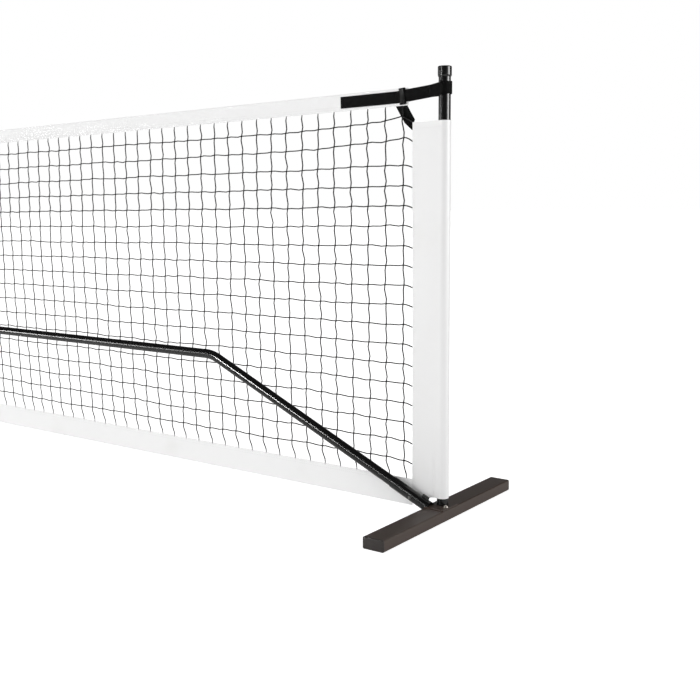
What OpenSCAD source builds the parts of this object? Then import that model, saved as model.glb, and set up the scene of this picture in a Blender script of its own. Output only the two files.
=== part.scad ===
// Portable pickleball net: two end bases and a centre base carry a low tube frame,
// end posts stand in fabric sleeves, and a mesh net hangs from a strapped top band.
// X runs along the net, Y from the player in front to the far side, Z up from the floor.

/* [Net] */
// Distance between the two end post axes
span = 6706; // [5800:2:7000]
// Height of the top band over the floor at the posts
net_h_end = 914; // [880:1:920]
// Height of the top band over the floor at the centre
net_h_mid = 864; // [830:1:880]
// Height of the white top band
band_h = 36; // [28:1:45]
// Thickness of the folded top band
band_t = 2.2; // [2:0.1:3]
// From a post axis to the end of the top band
band_gap = 88; // [82:1:100]
// Height of the white bottom hem
hem_h = 60; // [40:1:80]
// Thickness of the folded bottom hem
hem_t = 1.6; // [1:0.1:3]
// Clearance between the hem and the floor
hem_lift = 12; // [8:1:26]
// From the centre to where the hem starts to rise over the centre foot
hem_ride = 160; // [60:10:400]
// Width and thickness of the mesh cords
cord_d = 2; // [1.5:0.1:2.5]
// Columns of gaps, each three net meshes wide
mesh_cols = 48; // [12:2:48]
// Rows of gaps, each three net meshes high
mesh_rows = 6; // [3:1:6]

/* [Sleeve] */
// Thickness of one layer of the sleeve
sleeve_t = 0.75; // [0.5:0.05:1]
// From the post axis to the sleeve's edge, where the net is sewn on
sleeve_w = 77; // [60:1:95]
// From the band's top edge at the posts down to the sleeve's top
sleeve_drop = 73; // [65:1:130]
// Lower end of the sleeve at the post
sleeve_low = 43; // [38:1:60]
// How much lower the sleeve ends at its net edge
sleeve_dip = 14; // [0:1:16]
// Clearance between a fabric loop and the post
loop_gap = 0.3; // [0.2:0.05:0.6]

/* [End post] */
// Outer diameter of the end post
post_d = 25; // [22:0.5:28]
// Wall of the end post
post_wall = 1.2; // [1:0.1:1.8]
// How far the end post's cap stands over the top band
post_over = 35; // [31:1:65]
// Outer diameter of the end post's cap
cap_d = 28.6; // [28.6:0.1:32]
// Height of the end post's cap
cap_h = 21; // [15:1:25]
// Thickness of a cap's end
cap_end = 3; // [2.5:0.5:5]
// Radius of a cap's top edge
cap_round = 2; // [1:0.5:2]
// Height of the spigot that the end post slides over
spigot_h = 80; // [50:1:120]
// Radial clearance of the spigot in the post
spigot_gap = 0.05; // [0.02:0.01:0.1]

/* [Feet] */
// Width of a foot beam
foot_w = 50; // [46:1:60]
// Height of a foot beam
foot_h = 25; // [20:1:35]
// Wall of a foot beam
foot_wall = 1.6; // [1.2:0.1:2.5]
// Length of a foot beam without its caps
foot_len = 520; // [420:10:700]
// Corner radius of a foot beam
foot_r = 3; // [2:0.5:5]
// Thickness of a foot cap's flange
foot_cap_t = 4; // [2:0.5:8]
// Length of a foot cap's plug in the beam
foot_plug = 18; // [10:1:30]
// Thickness of the mounting plate on the foot
plate_t = 2.5; // [2:0.1:4]
// How far the plate stays back from the beam's sides
plate_inset = 1; // [0.5:0.5:3]
// From the post axis to the plate's rear edge
plate_rear = 24; // [22:1:40]
// Diameter of the base bolts
bolt_d = 6; // [4:0.5:6]
// Diameter of a base bolt's head
bolt_head_d = 11; // [9:0.5:11]
// Height of a base bolt's head
bolt_head_h = 4; // [2:0.5:5]
// From the post axis to a base bolt, along the net
bolt_x = 17; // [16:0.5:17.5]
// From the post axis to a base bolt, across the net
bolt_y = 15; // [14:0.5:16]

/* [Arms] */
// Outer diameter of the arm tubes
arm_d = 23; // [20:0.5:23]
// Wall of the arm tubes
arm_wall = 1.2; // [1:0.1:1.5]
// Height of the level arm run over the floor
arm_z = 305; // [250:1:350]
// How far the arms stand in front of the net
arm_front = 22; // [21:0.5:30]
// Rise of the sloping arm, in degrees
arm_rise = 24; // [18:0.1:28]
// Height of the sloping arm's axis over the floor, at the beam's inner side
arm_root = 25; // [22:0.5:32]
// Radius of the arm's bend along its centre line
bend_r = 100; // [60:5:160]
// Level length of the bent tube past its corner
first_run = 209; // [120:1:300]
// Length of a reduced tube end inside its neighbour
swage_len = 60; // [40:1:90]
// Radial clearance of tubes pushed into each other
joint_gap = 0.1; // [0.05:0.01:0.2]
// Wall of the sockets that the arms are pushed into
socket_wall = 1.2; // [1.2:0.1:2]
// Length of the sloping socket on an end base
stub_len = 107; // [90:1:140]
// From the post axis to the cut end of the sloping socket
stub_end = 16; // [15:0.5:20]
// How far the bent tube stays back inside the sloping socket
arm_inset = 20; // [10:1:30]

/* [Snap buttons] */
// Diameter of a snap button
button_d = 8; // [6:0.5:9]
// How far a snap button stands out of its socket
button_out = 3; // [2:0.5:4]
// Radial clearance of a snap button in its holes
button_gap = 0.05; // [0.02:0.01:0.1]
// From the sloping socket's end to its button
button_at = 50; // [45:1:60]
// Width of the leaf spring behind a button
leaf_w = 6; // [4:0.5:7]
// Thickness of the leaf spring
leaf_t = 0.8; // [0.5:0.1:1]
// Length of the folded leaf spring
leaf_len = 30; // [25:1:35]

/* [Tie lug] */
// Length of the tie lug along the socket
lug_len = 16; // [10:1:20]
// Height of the tie lug
lug_h = 6.5; // [6:0.5:10]
// Thickness of the tie lug
lug_t = 4; // [3:0.5:5]
// Diameter of the tie lug's hole
lug_hole = 3; // [2.5:0.5:3.5]
// From the sloping socket's end to the tie lug
lug_at = 13; // [12:1:20]

/* [Strap] */
// Width of the webbing
strap_w = 25; // [20:1:26]
// Thickness of the webbing
strap_t = 1.3; // [1:0.1:1.6]
// From a post axis to the end of the seam that holds the webbing on the band
strap_gap = 114; // [108:1:130]
// Length of webbing sewn to the band
sewn_len = 149; // [100:1:220]
// From the band's top edge down to the sewn webbing
strap_drop = 5.5; // [2:0.5:8]
// Rise of the strap from the band to the post, in degrees
strap_rise = 5.3; // [0:0.1:7]
// Length of the strap's rear layer behind the band
rear_lap = 11; // [8:1:16]
// Where the strap's two layers part to go round the post
strap_part = 32; // [30:1:40]
// Length of the strap's free end behind the net
tail_len = 88; // [60:1:120]
// Lean of the free end from upright, in degrees
tail_lean = 31; // [0:1:40]
// From the end of the seam to the middle of the free end
tail_at = 7; // [5:1:9]
// How far the free end's corners are cut back from its tip, on the net's side
tail_cut_net = 25; // [0:1:30]
// How far they are cut back on the post's side
tail_cut_post = 16; // [0:1:30]
// Width of the buckle along the strap
buckle_w = 15; // [12:1:20]
// Height of the buckle
buckle_h = 34; // [30:1:38]
// Thickness of the buckle's front and rear bars
buckle_t = 1.6; // [1.2:0.1:2.5]
// Clearance of the webbing in the buckle
buckle_gap = 0.3; // [0.2:0.05:0.5]
// From the end of the seam to the buckle
buckle_at = 6.5; // [5:0.5:8]

/* [Centre base] */
// Outer diameter of the upright under the hub
upright_d = 25; // [22:0.5:26]
// Outer diameter of the hub's vertical barrel
hub_d = 32; // [30:0.5:36]
// Half the height of the hub's barrel
hub_half = 60; // [40:1:80]
// From the centre to the mouth of an arm socket on the hub
hub_reach = 90; // [75:1:120]
// Half the thickness of the stop between the two arm sockets
hub_stop = 17; // [14:1:20]
// From the centre to a hub button
hub_button_x = 56; // [50:1:60]
// Height of the pocket over the centre post
pocket_h = 60; // [40:1:80]
// Thickness of the pocket's fabric
pocket_t = 1.2; // [0.8:0.1:1.6]
// Width of each flap that is sewn to the band
pocket_flap = 24; // [15:1:40]
// Outer diameter of the centre post's cap
mid_cap_d = 25; // [25:0.5:28]
// Height of the centre post's cap
mid_cap_h = 15; // [10:1:25]

/* [Hidden] */
$fn = 64;

eps = 0.01;
big = 400;
half = span / 2;
arm_y = -arm_front;
post_h = net_h_end + post_over;
sleeve_top = net_h_end - sleeve_drop;
plate_top = foot_h + plate_t;
socket_d = arm_d + 2 * joint_gap + 2 * socket_wall;
arm_id = arm_d - 2 * arm_wall;
swage_d = arm_id - 2 * joint_gap;
post_id = post_d - 2 * post_wall;

// The sloping arm's axis meets the level run's at the corner, and the socket's cut end at the root
corner_x = foot_w / 2 + (arm_z - arm_root) / tan(arm_rise);
root_z = arm_root - (foot_w / 2 - stub_end) * tan(arm_rise);
slope_len = (arm_z - root_z) / sin(arm_rise);
tangent = bend_r * tan(arm_rise / 2);
seam_x = corner_x + first_run;
tube_count = 4;
tube_len = (half - hub_stop - seam_x) / tube_count;

// The net lies in the plane of the post axes, between the sleeves' edges
net_x = half - sleeve_w;
hem_top = hem_lift + hem_h;

function band_top(x) = net_h_mid + (net_h_end - net_h_mid) * abs(x) / half;
function band_low(x) = band_top(x) - band_h;

// Centre lines of webbing that lies on the band, and of the layer that stands off its front
// by the buckle's rear bar
strap_y = (band_t + strap_t) / 2;
strap_front = band_t / 2 + loop_gap + buckle_t + buckle_gap + strap_t / 2;
loop_turn = strap_w / 2 * tan(strap_rise);
loop_r = post_d / 2 + loop_turn + loop_gap + strap_t / 2;
band_slope = atan((net_h_end - net_h_mid) / half);
strap_z = band_top(half - strap_gap) - strap_drop - strap_w / 2;
slot_w = strap_t + 2 * buckle_gap;

// A snap button's flange lies just inside the tube's wall
flange_w = 0.75;
flange_h = 1.2;
flange_out = sqrt(pow(arm_id / 2, 2) - pow(button_d / 2 + flange_w, 2)) - 0.3;

// ---- Placing ----

// Puts an end's pieces at the right-hand post, or mirrored at the left-hand one
module at_end(side) {
    if (side > 0)
        translate([half, 0, 0]) children();
    else
        mirror([1, 0, 0]) translate([half, 0, 0]) children();
}

// Turns +Z up the sloping arm, from the cut end of its socket
module on_slope(s) {
    translate([-stub_end, arm_y, root_z])
        rotate([0, arm_rise - 90, 0])
            translate([0, 0, s]) children();
}

// Turns +Z towards the post, along the level arm run, from x to the left of the post
module on_run(x) {
    translate([-x, arm_y, arm_z]) rotate([0, 90, 0]) children();
}

// Stands a drawing of X and Z upright, t thick about the net's plane
module standing(t) {
    rotate([90, 0, 0]) linear_extrude(height = t, center = true) children();
}

// ---- Shared shapes ----

module tube(d, wall, len) {
    difference() {
        cylinder(d = d, h = len);
        translate([0, 0, -1]) cylinder(d = d - 2 * wall, h = len + 2);
    }
}

// A rectangle with round corners, about its middle
module round_box_2d(w, h, r) {
    square([w - 2 * r, h], center = true);
    square([w, h - 2 * r], center = true);
    for (x = [-1, 1], z = [-1, 1])
        translate([x * (w / 2 - r), z * (h / 2 - r)]) circle(r = r);
}

// A strip of even thickness t along a list of points
function heading(p, i) = let (a = p[max(i - 1, 0)], b = p[min(i + 1, len(p) - 1)]) (b - a) / norm(b - a);
function edge_point(p, i, d) = let (h = heading(p, i)) p[i] + d * [-h[1], h[0]];
module ribbon_2d(p, t) {
    n = len(p);
    polygon(concat(
        [for (i = [0:n - 1]) edge_point(p, i, t / 2)],
        [for (i = [n - 1:-1:0]) edge_point(p, i, -t / 2)]));
}

// Points on an arc about c, from angle a to angle b
function arc(c, r, a, b, n) = [for (i = [0:n]) c + r * [cos(a + (b - a) * i / n), sin(a + (b - a) * i / n)]];

// ---- Feet ----

module foot_beam() {
    difference() {
        translate([0, 0, foot_h / 2]) rotate([90, 0, 0])
            linear_extrude(height = foot_len, center = true)
                difference() {
                    round_box_2d(foot_w, foot_h, foot_r);
                    square([foot_w - 2 * foot_wall, foot_h - 2 * foot_wall], center = true);
                }
        bolt_places() translate([0, 0, foot_h - foot_wall - 1])
            cylinder(d = bolt_d + 2 * joint_gap, h = foot_wall + 2);
    }
}

module foot_caps() {
    plug_w = foot_w - 2 * foot_wall - 2 * joint_gap;
    plug_h = foot_h - 2 * foot_wall - 2 * joint_gap;
    for (side = [-1, 1])
        translate([0, side * foot_len / 2, foot_h / 2]) rotate([side * -90, 0, 0]) {
            linear_extrude(height = foot_cap_t) round_box_2d(foot_w, foot_h, foot_r);
            translate([-plug_w / 2, -plug_h / 2, -foot_plug]) cube([plug_w, plug_h, foot_plug + eps]);
        }
}

module bolt_places() {
    translate([bolt_x, -bolt_y, 0]) children();
    translate([-bolt_x, bolt_y, 0]) children();
}

module base_plate() {
    front = arm_front + socket_d / 2 + 3;
    w = foot_w - 2 * plate_inset;
    difference() {
        translate([-w / 2, -front, foot_h]) cube([w, front + plate_rear, plate_t]);
        bolt_places() translate([0, 0, foot_h - 1]) cylinder(d = bolt_d + 2 * joint_gap, h = plate_t + 2);
    }
}

// Bolts through the plate and the beam's top wall, each with its nut inside the beam
module base_bolts() {
    nut_h = 5;
    under = foot_h - foot_wall;
    bolt_places() {
        translate([0, 0, plate_top]) bolt_head();
        translate([0, 0, under - nut_h - 1]) cylinder(d = bolt_d, h = plate_top - under + nut_h + 1 + eps);
        translate([0, 0, under - nut_h]) difference() {
            cylinder(d = bolt_d * 1.8, h = nut_h, $fn = 6);
            translate([0, 0, -1]) cylinder(d = bolt_d + joint_gap, h = nut_h + 2);
        }
    }
}

// A low domed head: the top of a ball that is as high as the head
module bolt_head() {
    r = bolt_head_d / 2;
    ball = (r * r + bolt_head_h * bolt_head_h) / (2 * bolt_head_h);
    intersection() {
        cylinder(r = r, h = bolt_head_h);
        translate([0, 0, bolt_head_h - ball]) sphere(r = ball);
    }
}

// ---- End posts ----

module post_spigot() {
    translate([0, 0, plate_top]) tube(post_id - 2 * spigot_gap, 1.5, spigot_h);
}

module post() {
    translate([0, 0, plate_top]) tube(post_d, post_wall, post_h - cap_end - plate_top);
}

module post_cap() {
    translate([0, 0, post_h - cap_h]) tube_cap(cap_d, post_d, cap_h);
}

// A cap d across over a tube: a tapered lip below, a rounded edge above
module tube_cap(d, tube_d, h) {
    bore = tube_d / 2 + joint_gap;
    lip_h = 3;
    lip_t = 0.7;
    rotate_extrude()
        polygon(concat([[0, h - cap_end], [bore, h - cap_end], [bore, 0], [bore + lip_t, 0], [d / 2, lip_h]],
                       arc([d / 2 - cap_round, h - cap_round], cap_round, 0, 90, 4),
                       [[0, h]]));
}

// ---- Arms ----

// Its lower end is cut to sit against the beam's inner side and on the plate
module arm_socket() {
    difference() {
        on_slope(-stub_end) cylinder(d = socket_d, h = stub_len + stub_end);
        on_slope(-stub_end - 1) cylinder(d = arm_d + 2 * joint_gap, h = stub_len + stub_end + 2);
        translate([-stub_end, arm_y - big / 2, 0]) cube([big, big, big]);
        translate([-foot_w / 2, arm_y - big / 2, foot_h - big]) cube([big, big, big]);
        translate([plate_inset - foot_w / 2, arm_y - big / 2, plate_top - big]) cube([big, big, big]);
        on_slope(button_at) button_hole();
    }
}

// A hole from a tube's axis out through its front wall
module button_hole() {
    rotate([90, 0, 0]) cylinder(d = button_d + 2 * button_gap, h = socket_d);
}

module tie_lug() {
    sink = 1.5;
    difference() {
        on_slope(lug_at) translate([socket_d / 2 - sink, -lug_t / 2, 0]) cube([lug_h + sink, lug_t, lug_len]);
        on_slope(0) cylinder(d = socket_d, h = stub_len);
        on_slope(lug_at + lug_len / 2) translate([socket_d / 2 + lug_h * 0.55, 0, 0])
            rotate([90, 0, 0]) cylinder(d = lug_hole, h = lug_t + 2, center = true);
    }
}

// A straight stretch, the bend and a level stretch. The straight ones reach a little into
// the bend, whose wall is thicker by a hair.
module corner_tube() {
    lap = 0.5;
    swell = 0.05;
    difference() {
        union() {
            on_slope(arm_inset) tube(arm_d, arm_wall, slope_len - tangent - arm_inset + lap);
            translate([-corner_x - tangent, arm_y, arm_z - bend_r])
                rotate([90, 0, 0]) rotate([0, 0, 90 - arm_rise])
                    rotate_extrude(angle = arm_rise, $fn = 128)
                        translate([bend_r, 0]) difference() {
                            circle(r = arm_d / 2 + swell);
                            circle(r = arm_id / 2 - swell);
                        }
            on_run(seam_x) tube(arm_d, arm_wall, first_run - tangent + lap);
        }
        on_slope(button_at) button_hole();
    }
}

// A level tube whose reduced end reaches into the tube before it, number n from the post
module arm_tube(n) {
    x = seam_x + n * tube_len;
    neck = 4;
    difference() {
        union() {
            on_run(x) cylinder(d = arm_d, h = tube_len);
            on_run(x) cylinder(d = swage_d, h = tube_len + swage_len);
        }
        on_run(x + 1) cylinder(d = swage_d - 2 * arm_wall, h = tube_len + swage_len + 2);
        on_run(x + 1) cylinder(d = arm_id, h = tube_len - neck + 1);
        if (n == tube_count)
            translate([hub_button_x - half, arm_y, arm_z]) button_hole();
    }
}

// ---- Snap buttons: a pin from a tube's axis towards the front, on a leaf spring ----

module button() {
    tip = socket_d / 2 + button_out;
    dome = 1;
    rotate([90, 0, 0]) {
        translate([0, 0, flange_out - flange_h]) cylinder(d = button_d + 2 * flange_w, h = flange_h);
        translate([0, 0, flange_out - eps]) cylinder(d = button_d, h = tip - dome - flange_out + eps);
        translate([0, 0, tip - dome - eps]) cylinder(d1 = button_d, d2 = button_d - 2 * dome, h = dome + eps, $fn = 96);
    }
}

// A folded leaf: one leg carries the button, the other lies on the tube's far wall
module leaf_spring() {
    wall_gap = 0.15;
    turn = 1.5;
    near = flange_out - flange_h - leaf_t / 2;
    far = sqrt(pow(arm_id / 2, 2) - pow(leaf_w / 2, 2)) - wall_gap - leaf_t / 2;
    tail = button_d / 2;
    leg = concat([[-near, -tail], [-near, tail]],
                 arc([turn, leaf_len - turn], turn, 160, 20, 6),
                 [[far, 0], [far, -tail]]);
    rotate([0, 0, 90]) rotate([90, 0, 0])
        linear_extrude(height = leaf_w, center = true) ribbon_2d(leg, leaf_t);
}

// ---- Net ----

function mesh_x(i) = -net_x + cord_d / 2 + (2 * net_x - cord_d) * i / mesh_cols;
function mesh_z(x, j) = hem_top + cord_d / 2 + (band_low(x) - cord_d - hem_top) * j / mesh_rows;

// One gap between cords i and i + 1, in row j
function gap_outline(i, j) =
    let (a = mesh_x(i) + cord_d / 2, b = mesh_x(i + 1) - cord_d / 2)
    [[a, mesh_z(a, j) + cord_d / 2], [b, mesh_z(b, j) + cord_d / 2],
     [b, mesh_z(b, j + 1) - cord_d / 2], [a, mesh_z(a, j + 1) - cord_d / 2]];

module net_mesh() {
    color("#1c1c1e") standing(cord_d) difference() {
        polygon([[-net_x, hem_top], [net_x, hem_top], [net_x, band_low(net_x)],
                 [0, band_low(0)], [-net_x, band_low(net_x)]]);
        for (i = [0:mesh_cols - 1], j = [0:mesh_rows - 1]) polygon(gap_outline(i, j));
    }
}

module top_band() {
    x = half - band_gap;
    color("#f4f4f2") standing(band_t)
        polygon([[-x, band_low(x)], [0, band_low(0)], [x, band_low(x)],
                 [x, band_top(x)], [0, band_top(0)], [-x, band_top(x)]]);
}

// The hem's lower edge lies over the centre foot
module bottom_hem() {
    over = plate_top + loop_gap;
    flat = foot_w / 2 + 5;
    color("#ececea") standing(hem_t)
        polygon([[-net_x, hem_top], [-net_x, hem_lift], [-hem_ride, hem_lift], [-flat, over],
                 [flat, over], [hem_ride, hem_lift], [net_x, hem_lift], [net_x, hem_top]]);
}

// A loop round the post and a flat double layer that reaches out to the net
module sleeve() {
    r = post_d / 2 + loop_gap;
    top = sleeve_top - sleeve_low + sleeve_dip;
    difference() {
        translate([0, 0, sleeve_low - sleeve_dip]) linear_extrude(height = top) difference() {
            union() {
                circle(r = r + sleeve_t);
                translate([-sleeve_w, -sleeve_t]) square([sleeve_w, 2 * sleeve_t]);
            }
            circle(r = r);
        }
        translate([-sleeve_w, 0, sleeve_low - sleeve_dip])
            rotate([0, -atan(sleeve_dip / (sleeve_w - r)), 0])
                translate([-big, -big / 2, -big]) cube([2 * big, big, big]);
    }
}

// ---- Strap ----

// Places a drawing of the strap's run, X towards the post, tilted up from the end of the seam
module on_strap() {
    translate([-strap_gap, 0, strap_z]) rotate([0, -strap_rise, 0]) translate([0, 0, -strap_w / 2]) children();
}

// Angle past a right angle where a layer y from the middle leaves its circle round the post
function parting(y) = 90 + atan((loop_r - y) / (strap_part * 0.8));

// From the end of the seam through the buckle, round the post and back behind the band
function strap_path() =
    let (c = [strap_gap / cos(strap_rise), 0],
         p = c[0] - strap_part)
    concat([[0, -strap_y], [buckle_at - 1, -strap_front], [p, -strap_front]],
           arc(c, loop_r, -parting(strap_front), parting(strap_y), 40),
           [[p, strap_y], [-rear_lap, strap_y]]);

module strap() {
    on_strap() linear_extrude(height = strap_w) ribbon_2d(strap_path(), strap_t);
    translate([-strap_gap, -strap_y, strap_z]) rotate([0, -band_slope, 0])
        translate([-sewn_len, -strap_t / 2, -strap_w / 2]) cube([sewn_len + 2 * loop_turn, strap_t, strap_w]);
}

// The webbing's free end: a fold on the layer behind the band, and a strip that leans down
// towards the sleeve. Its end is cut to a tip, with a step on the post's side.
module strap_tail() {
    back = strap_y + strap_t / 2;
    strip_y = back + loop_gap;
    w = strap_w / 2;
    hem = 1.5;
    lift = 5.5;
    tip = 8 - w;
    step = 7;
    translate([-strap_gap - rear_lap, back, strap_z - w + hem])
        cube([rear_lap + 1, strip_y - back + strap_t, strap_w - 2 * hem]);
    translate([-strap_gap - tail_at, strip_y, strap_z + lift]) rotate([0, -tail_lean, 0])
        rotate([-90, 0, 0]) linear_extrude(height = strap_t)
            polygon([[-w, 0], [w, 0], [w, tail_len - tail_cut_post], [w - step, tail_len - tail_cut_post - step / 2],
                     [tip, tail_len], [-w, tail_len - tail_cut_net]]);
}

// A slider in front of the band: a bar behind the webbing, one before it, and a rail on each edge
module buckle() {
    rail = (buckle_h - strap_w) / 2 - buckle_gap;
    depth = slot_w + 2 * buckle_t;
    on_strap() translate([buckle_at, -strap_front, strap_w / 2]) difference() {
        translate([0, -depth / 2, -buckle_h / 2]) cube([buckle_w, depth, buckle_h]);
        translate([-1, -slot_w / 2, -buckle_h / 2 + rail]) cube([buckle_w + 2, slot_w, buckle_h - 2 * rail]);
    }
}

// ---- Centre ----

module centre_upright() {
    translate([0, arm_y, plate_top]) tube(upright_d, post_wall, arm_z - hub_d / 2 - plate_top);
}

module centre_hub() {
    difference() {
        union() {
            translate([0, arm_y, arm_z - hub_half]) cylinder(d = hub_d, h = 2 * hub_half);
            translate([-hub_reach, arm_y, arm_z]) rotate([0, 90, 0]) cylinder(d = socket_d, h = 2 * hub_reach);
        }
        for (side = [-1, 1]) {
            translate([side * hub_stop, arm_y, arm_z]) rotate([0, side * 90, 0])
                cylinder(d = arm_d + 2 * joint_gap, h = hub_reach);
            translate([side * hub_button_x, arm_y, arm_z]) button_hole();
        }
        translate([0, arm_y, arm_z - hub_half - 1])
            cylinder(d = upright_d + 2 * joint_gap, h = hub_half - hub_d / 2 + 1);
        translate([0, arm_y, arm_z + hub_d / 2]) cylinder(d = arm_d + 2 * joint_gap, h = hub_half);
    }
}

centre_post_top = net_h_mid - pocket_t - cap_end;

module centre_post() {
    translate([0, arm_y, arm_z + hub_d / 2]) tube(arm_d, arm_wall, centre_post_top - arm_z - hub_d / 2);
}

module centre_post_cap() {
    translate([0, arm_y, centre_post_top - mid_cap_h + cap_end]) tube_cap(mid_cap_d, arm_d, mid_cap_h);
}

// A closed-topped loop over the centre post, with a flap on each side sewn to the band
module centre_pocket() {
    inner = mid_cap_d / 2 + loop_gap;
    outer = inner + pocket_t;
    reach = outer + pocket_flap;
    back = -band_t / 2;
    bow = arc([0, arm_y], outer, 180, 360, 32);
    translate([0, 0, net_h_mid - pocket_h]) linear_extrude(height = pocket_h - pocket_t)
        polygon(concat([[-inner, back], [-reach, back], [-reach, back - pocket_t], [-outer, back - pocket_t]],
                       bow,
                       [[outer, back - pocket_t], [reach, back - pocket_t], [reach, back], [inner, back]],
                       arc([0, arm_y], inner, 360, 180, 32)));
    translate([0, 0, net_h_mid - pocket_t]) linear_extrude(height = pocket_t)
        polygon(concat([[-outer, back]], bow, [[outer, back]]));
}

// ---- Coloured sub-parts ----

module steel_black() { color("#17171a") children(); }
module foot_black() { color("#2c2826") children(); }
module foot_plastic() { color("#2a2624") children(); }
module plastic_black() { color("#202022") children(); }
module webbing_black() { color("#141416") children(); }
module vinyl_white() { color("#f4f4f2") children(); }
module bright_steel() { color("#c9c8c4") children(); }

module end_sleeve(side) { vinyl_white() at_end(side) sleeve(); }
module end_strap(side) { webbing_black() at_end(side) strap(); }
module end_strap_tail(side) { webbing_black() at_end(side) strap_tail(); }
module end_buckle(side) { plastic_black() at_end(side) buckle(); }
module end_post(side) { steel_black() at_end(side) post(); }
module end_post_cap(side) { plastic_black() at_end(side) post_cap(); }
module end_post_spigot(side) { steel_black() at_end(side) post_spigot(); }
module end_foot_beam(side) { foot_black() at_end(side) foot_beam(); }
module end_foot_caps(side) { foot_plastic() at_end(side) foot_caps(); }
module end_base_plate(side) { foot_black() at_end(side) base_plate(); }
module end_base_bolts(side) { bright_steel() at_end(side) base_bolts(); }
module end_arm_socket(side) { steel_black() at_end(side) arm_socket(); }
module end_tie_lug(side) { steel_black() at_end(side) tie_lug(); }
module end_socket_button(side) { bright_steel() at_end(side) on_slope(button_at) button(); }
module end_button_spring(side) { bright_steel() at_end(side) on_slope(button_at) leaf_spring(); }
module end_corner_tube(side) { steel_black() at_end(side) corner_tube(); }
module end_arm_tube(side, n) { steel_black() at_end(side) arm_tube(n); }
module hub_place(side) {
    translate([side * hub_button_x, arm_y, arm_z]) rotate([0, side * 90, 0]) children();
}
module hub_button(side) { bright_steel() hub_place(side) button(); }
module hub_spring(side) { bright_steel() hub_place(side) leaf_spring(); }
module centre_foot_beam() { foot_black() foot_beam(); }
module centre_foot_caps() { foot_plastic() foot_caps(); }
module centre_base_plate() { foot_black() base_plate(); }
module centre_base_bolts() { bright_steel() base_bolts(); }

// ---- The assembly ----

net_mesh();
top_band();
bottom_hem();

end_sleeve(1);  // right_sleeve
end_strap(1);  // right_strap
end_strap_tail(1);  // right_strap_tail
end_buckle(1);  // right_buckle
end_post(1);  // right_post
end_post_cap(1);  // right_post_cap
end_post_spigot(1);  // right_post_spigot
end_foot_beam(1);  // right_foot_beam
end_foot_caps(1);  // right_foot_caps
end_base_plate(1);  // right_base_plate
end_base_bolts(1);  // right_base_bolts
end_arm_socket(1);  // right_arm_socket
end_tie_lug(1);  // right_tie_lug
end_socket_button(1);  // right_socket_button
end_button_spring(1);  // right_button_spring
end_corner_tube(1);  // right_corner_tube
end_arm_tube(1, 1);  // right_arm_tube_1
end_arm_tube(1, 2);  // right_arm_tube_2
end_arm_tube(1, 3);  // right_arm_tube_3
end_arm_tube(1, 4);  // right_arm_tube_4

end_sleeve(-1);  // left_sleeve
end_strap(-1);  // left_strap
end_strap_tail(-1);  // left_strap_tail
end_buckle(-1);  // left_buckle
end_post(-1);  // left_post
end_post_cap(-1);  // left_post_cap
end_post_spigot(-1);  // left_post_spigot
end_foot_beam(-1);  // left_foot_beam
end_foot_caps(-1);  // left_foot_caps
end_base_plate(-1);  // left_base_plate
end_base_bolts(-1);  // left_base_bolts
end_arm_socket(-1);  // left_arm_socket
end_tie_lug(-1);  // left_tie_lug
end_socket_button(-1);  // left_socket_button
end_button_spring(-1);  // left_button_spring
end_corner_tube(-1);  // left_corner_tube
end_arm_tube(-1, 1);  // left_arm_tube_1
end_arm_tube(-1, 2);  // left_arm_tube_2
end_arm_tube(-1, 3);  // left_arm_tube_3
end_arm_tube(-1, 4);  // left_arm_tube_4

centre_foot_beam();
centre_foot_caps();
centre_base_plate();
centre_base_bolts();
steel_black() centre_upright();
steel_black() centre_hub();
hub_button(1);  // right_hub_button
hub_spring(1);  // right_hub_spring
hub_button(-1);  // left_hub_button
hub_spring(-1);  // left_hub_spring
steel_black() centre_post();
plastic_black() centre_post_cap();
vinyl_white() centre_pocket();
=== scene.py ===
"""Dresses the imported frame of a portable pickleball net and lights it.

The tubes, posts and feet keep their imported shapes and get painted, moulded and plated
finishes. The knotted net, its bands, sleeves, straps, buckles, bolts, welds and foot caps
are made here, and each but the welds and the stitching stands for a plain solid.
"""

from __future__ import annotations

import logging
import math
from dataclasses import dataclass
from enum import Enum
from functools import cache
from typing import Callable, Optional, Sequence, Union

import bmesh
import bpy
import numpy as np
from bpy.types import ID, Material, NodeSocket, Object, World
from mathutils import Matrix, Vector


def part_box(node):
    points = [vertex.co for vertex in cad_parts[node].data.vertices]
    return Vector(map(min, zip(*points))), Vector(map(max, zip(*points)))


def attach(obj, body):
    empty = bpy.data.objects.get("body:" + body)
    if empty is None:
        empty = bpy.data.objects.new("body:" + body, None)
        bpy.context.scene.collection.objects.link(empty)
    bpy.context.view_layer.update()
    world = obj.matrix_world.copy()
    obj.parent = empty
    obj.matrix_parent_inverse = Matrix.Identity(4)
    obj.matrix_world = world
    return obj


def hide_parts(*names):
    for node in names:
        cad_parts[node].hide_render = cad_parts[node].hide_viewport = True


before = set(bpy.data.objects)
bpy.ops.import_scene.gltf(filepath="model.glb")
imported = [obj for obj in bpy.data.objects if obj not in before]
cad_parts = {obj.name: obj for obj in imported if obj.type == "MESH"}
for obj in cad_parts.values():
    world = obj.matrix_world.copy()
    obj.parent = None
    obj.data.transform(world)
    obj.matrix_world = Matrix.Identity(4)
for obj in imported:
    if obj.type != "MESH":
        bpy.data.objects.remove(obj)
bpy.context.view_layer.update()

Pair = tuple[float, float]
Vec = tuple[float, float, float]
Colour = tuple[float, float, float, float]
Array = np.ndarray

TURN = 2 * math.pi
# How far a weld bead's middle and a seam stand off what they lie on.
WELD_LIFT = 0.0004
SEWN_LIFT = 0.00002
ALL_BUT_GLOSS = ("camera", "diffuse", "transmission", "volume_scatter", "shadow")

log = logging.getLogger("net")


# ---- Arithmetic on shader values ----


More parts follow.
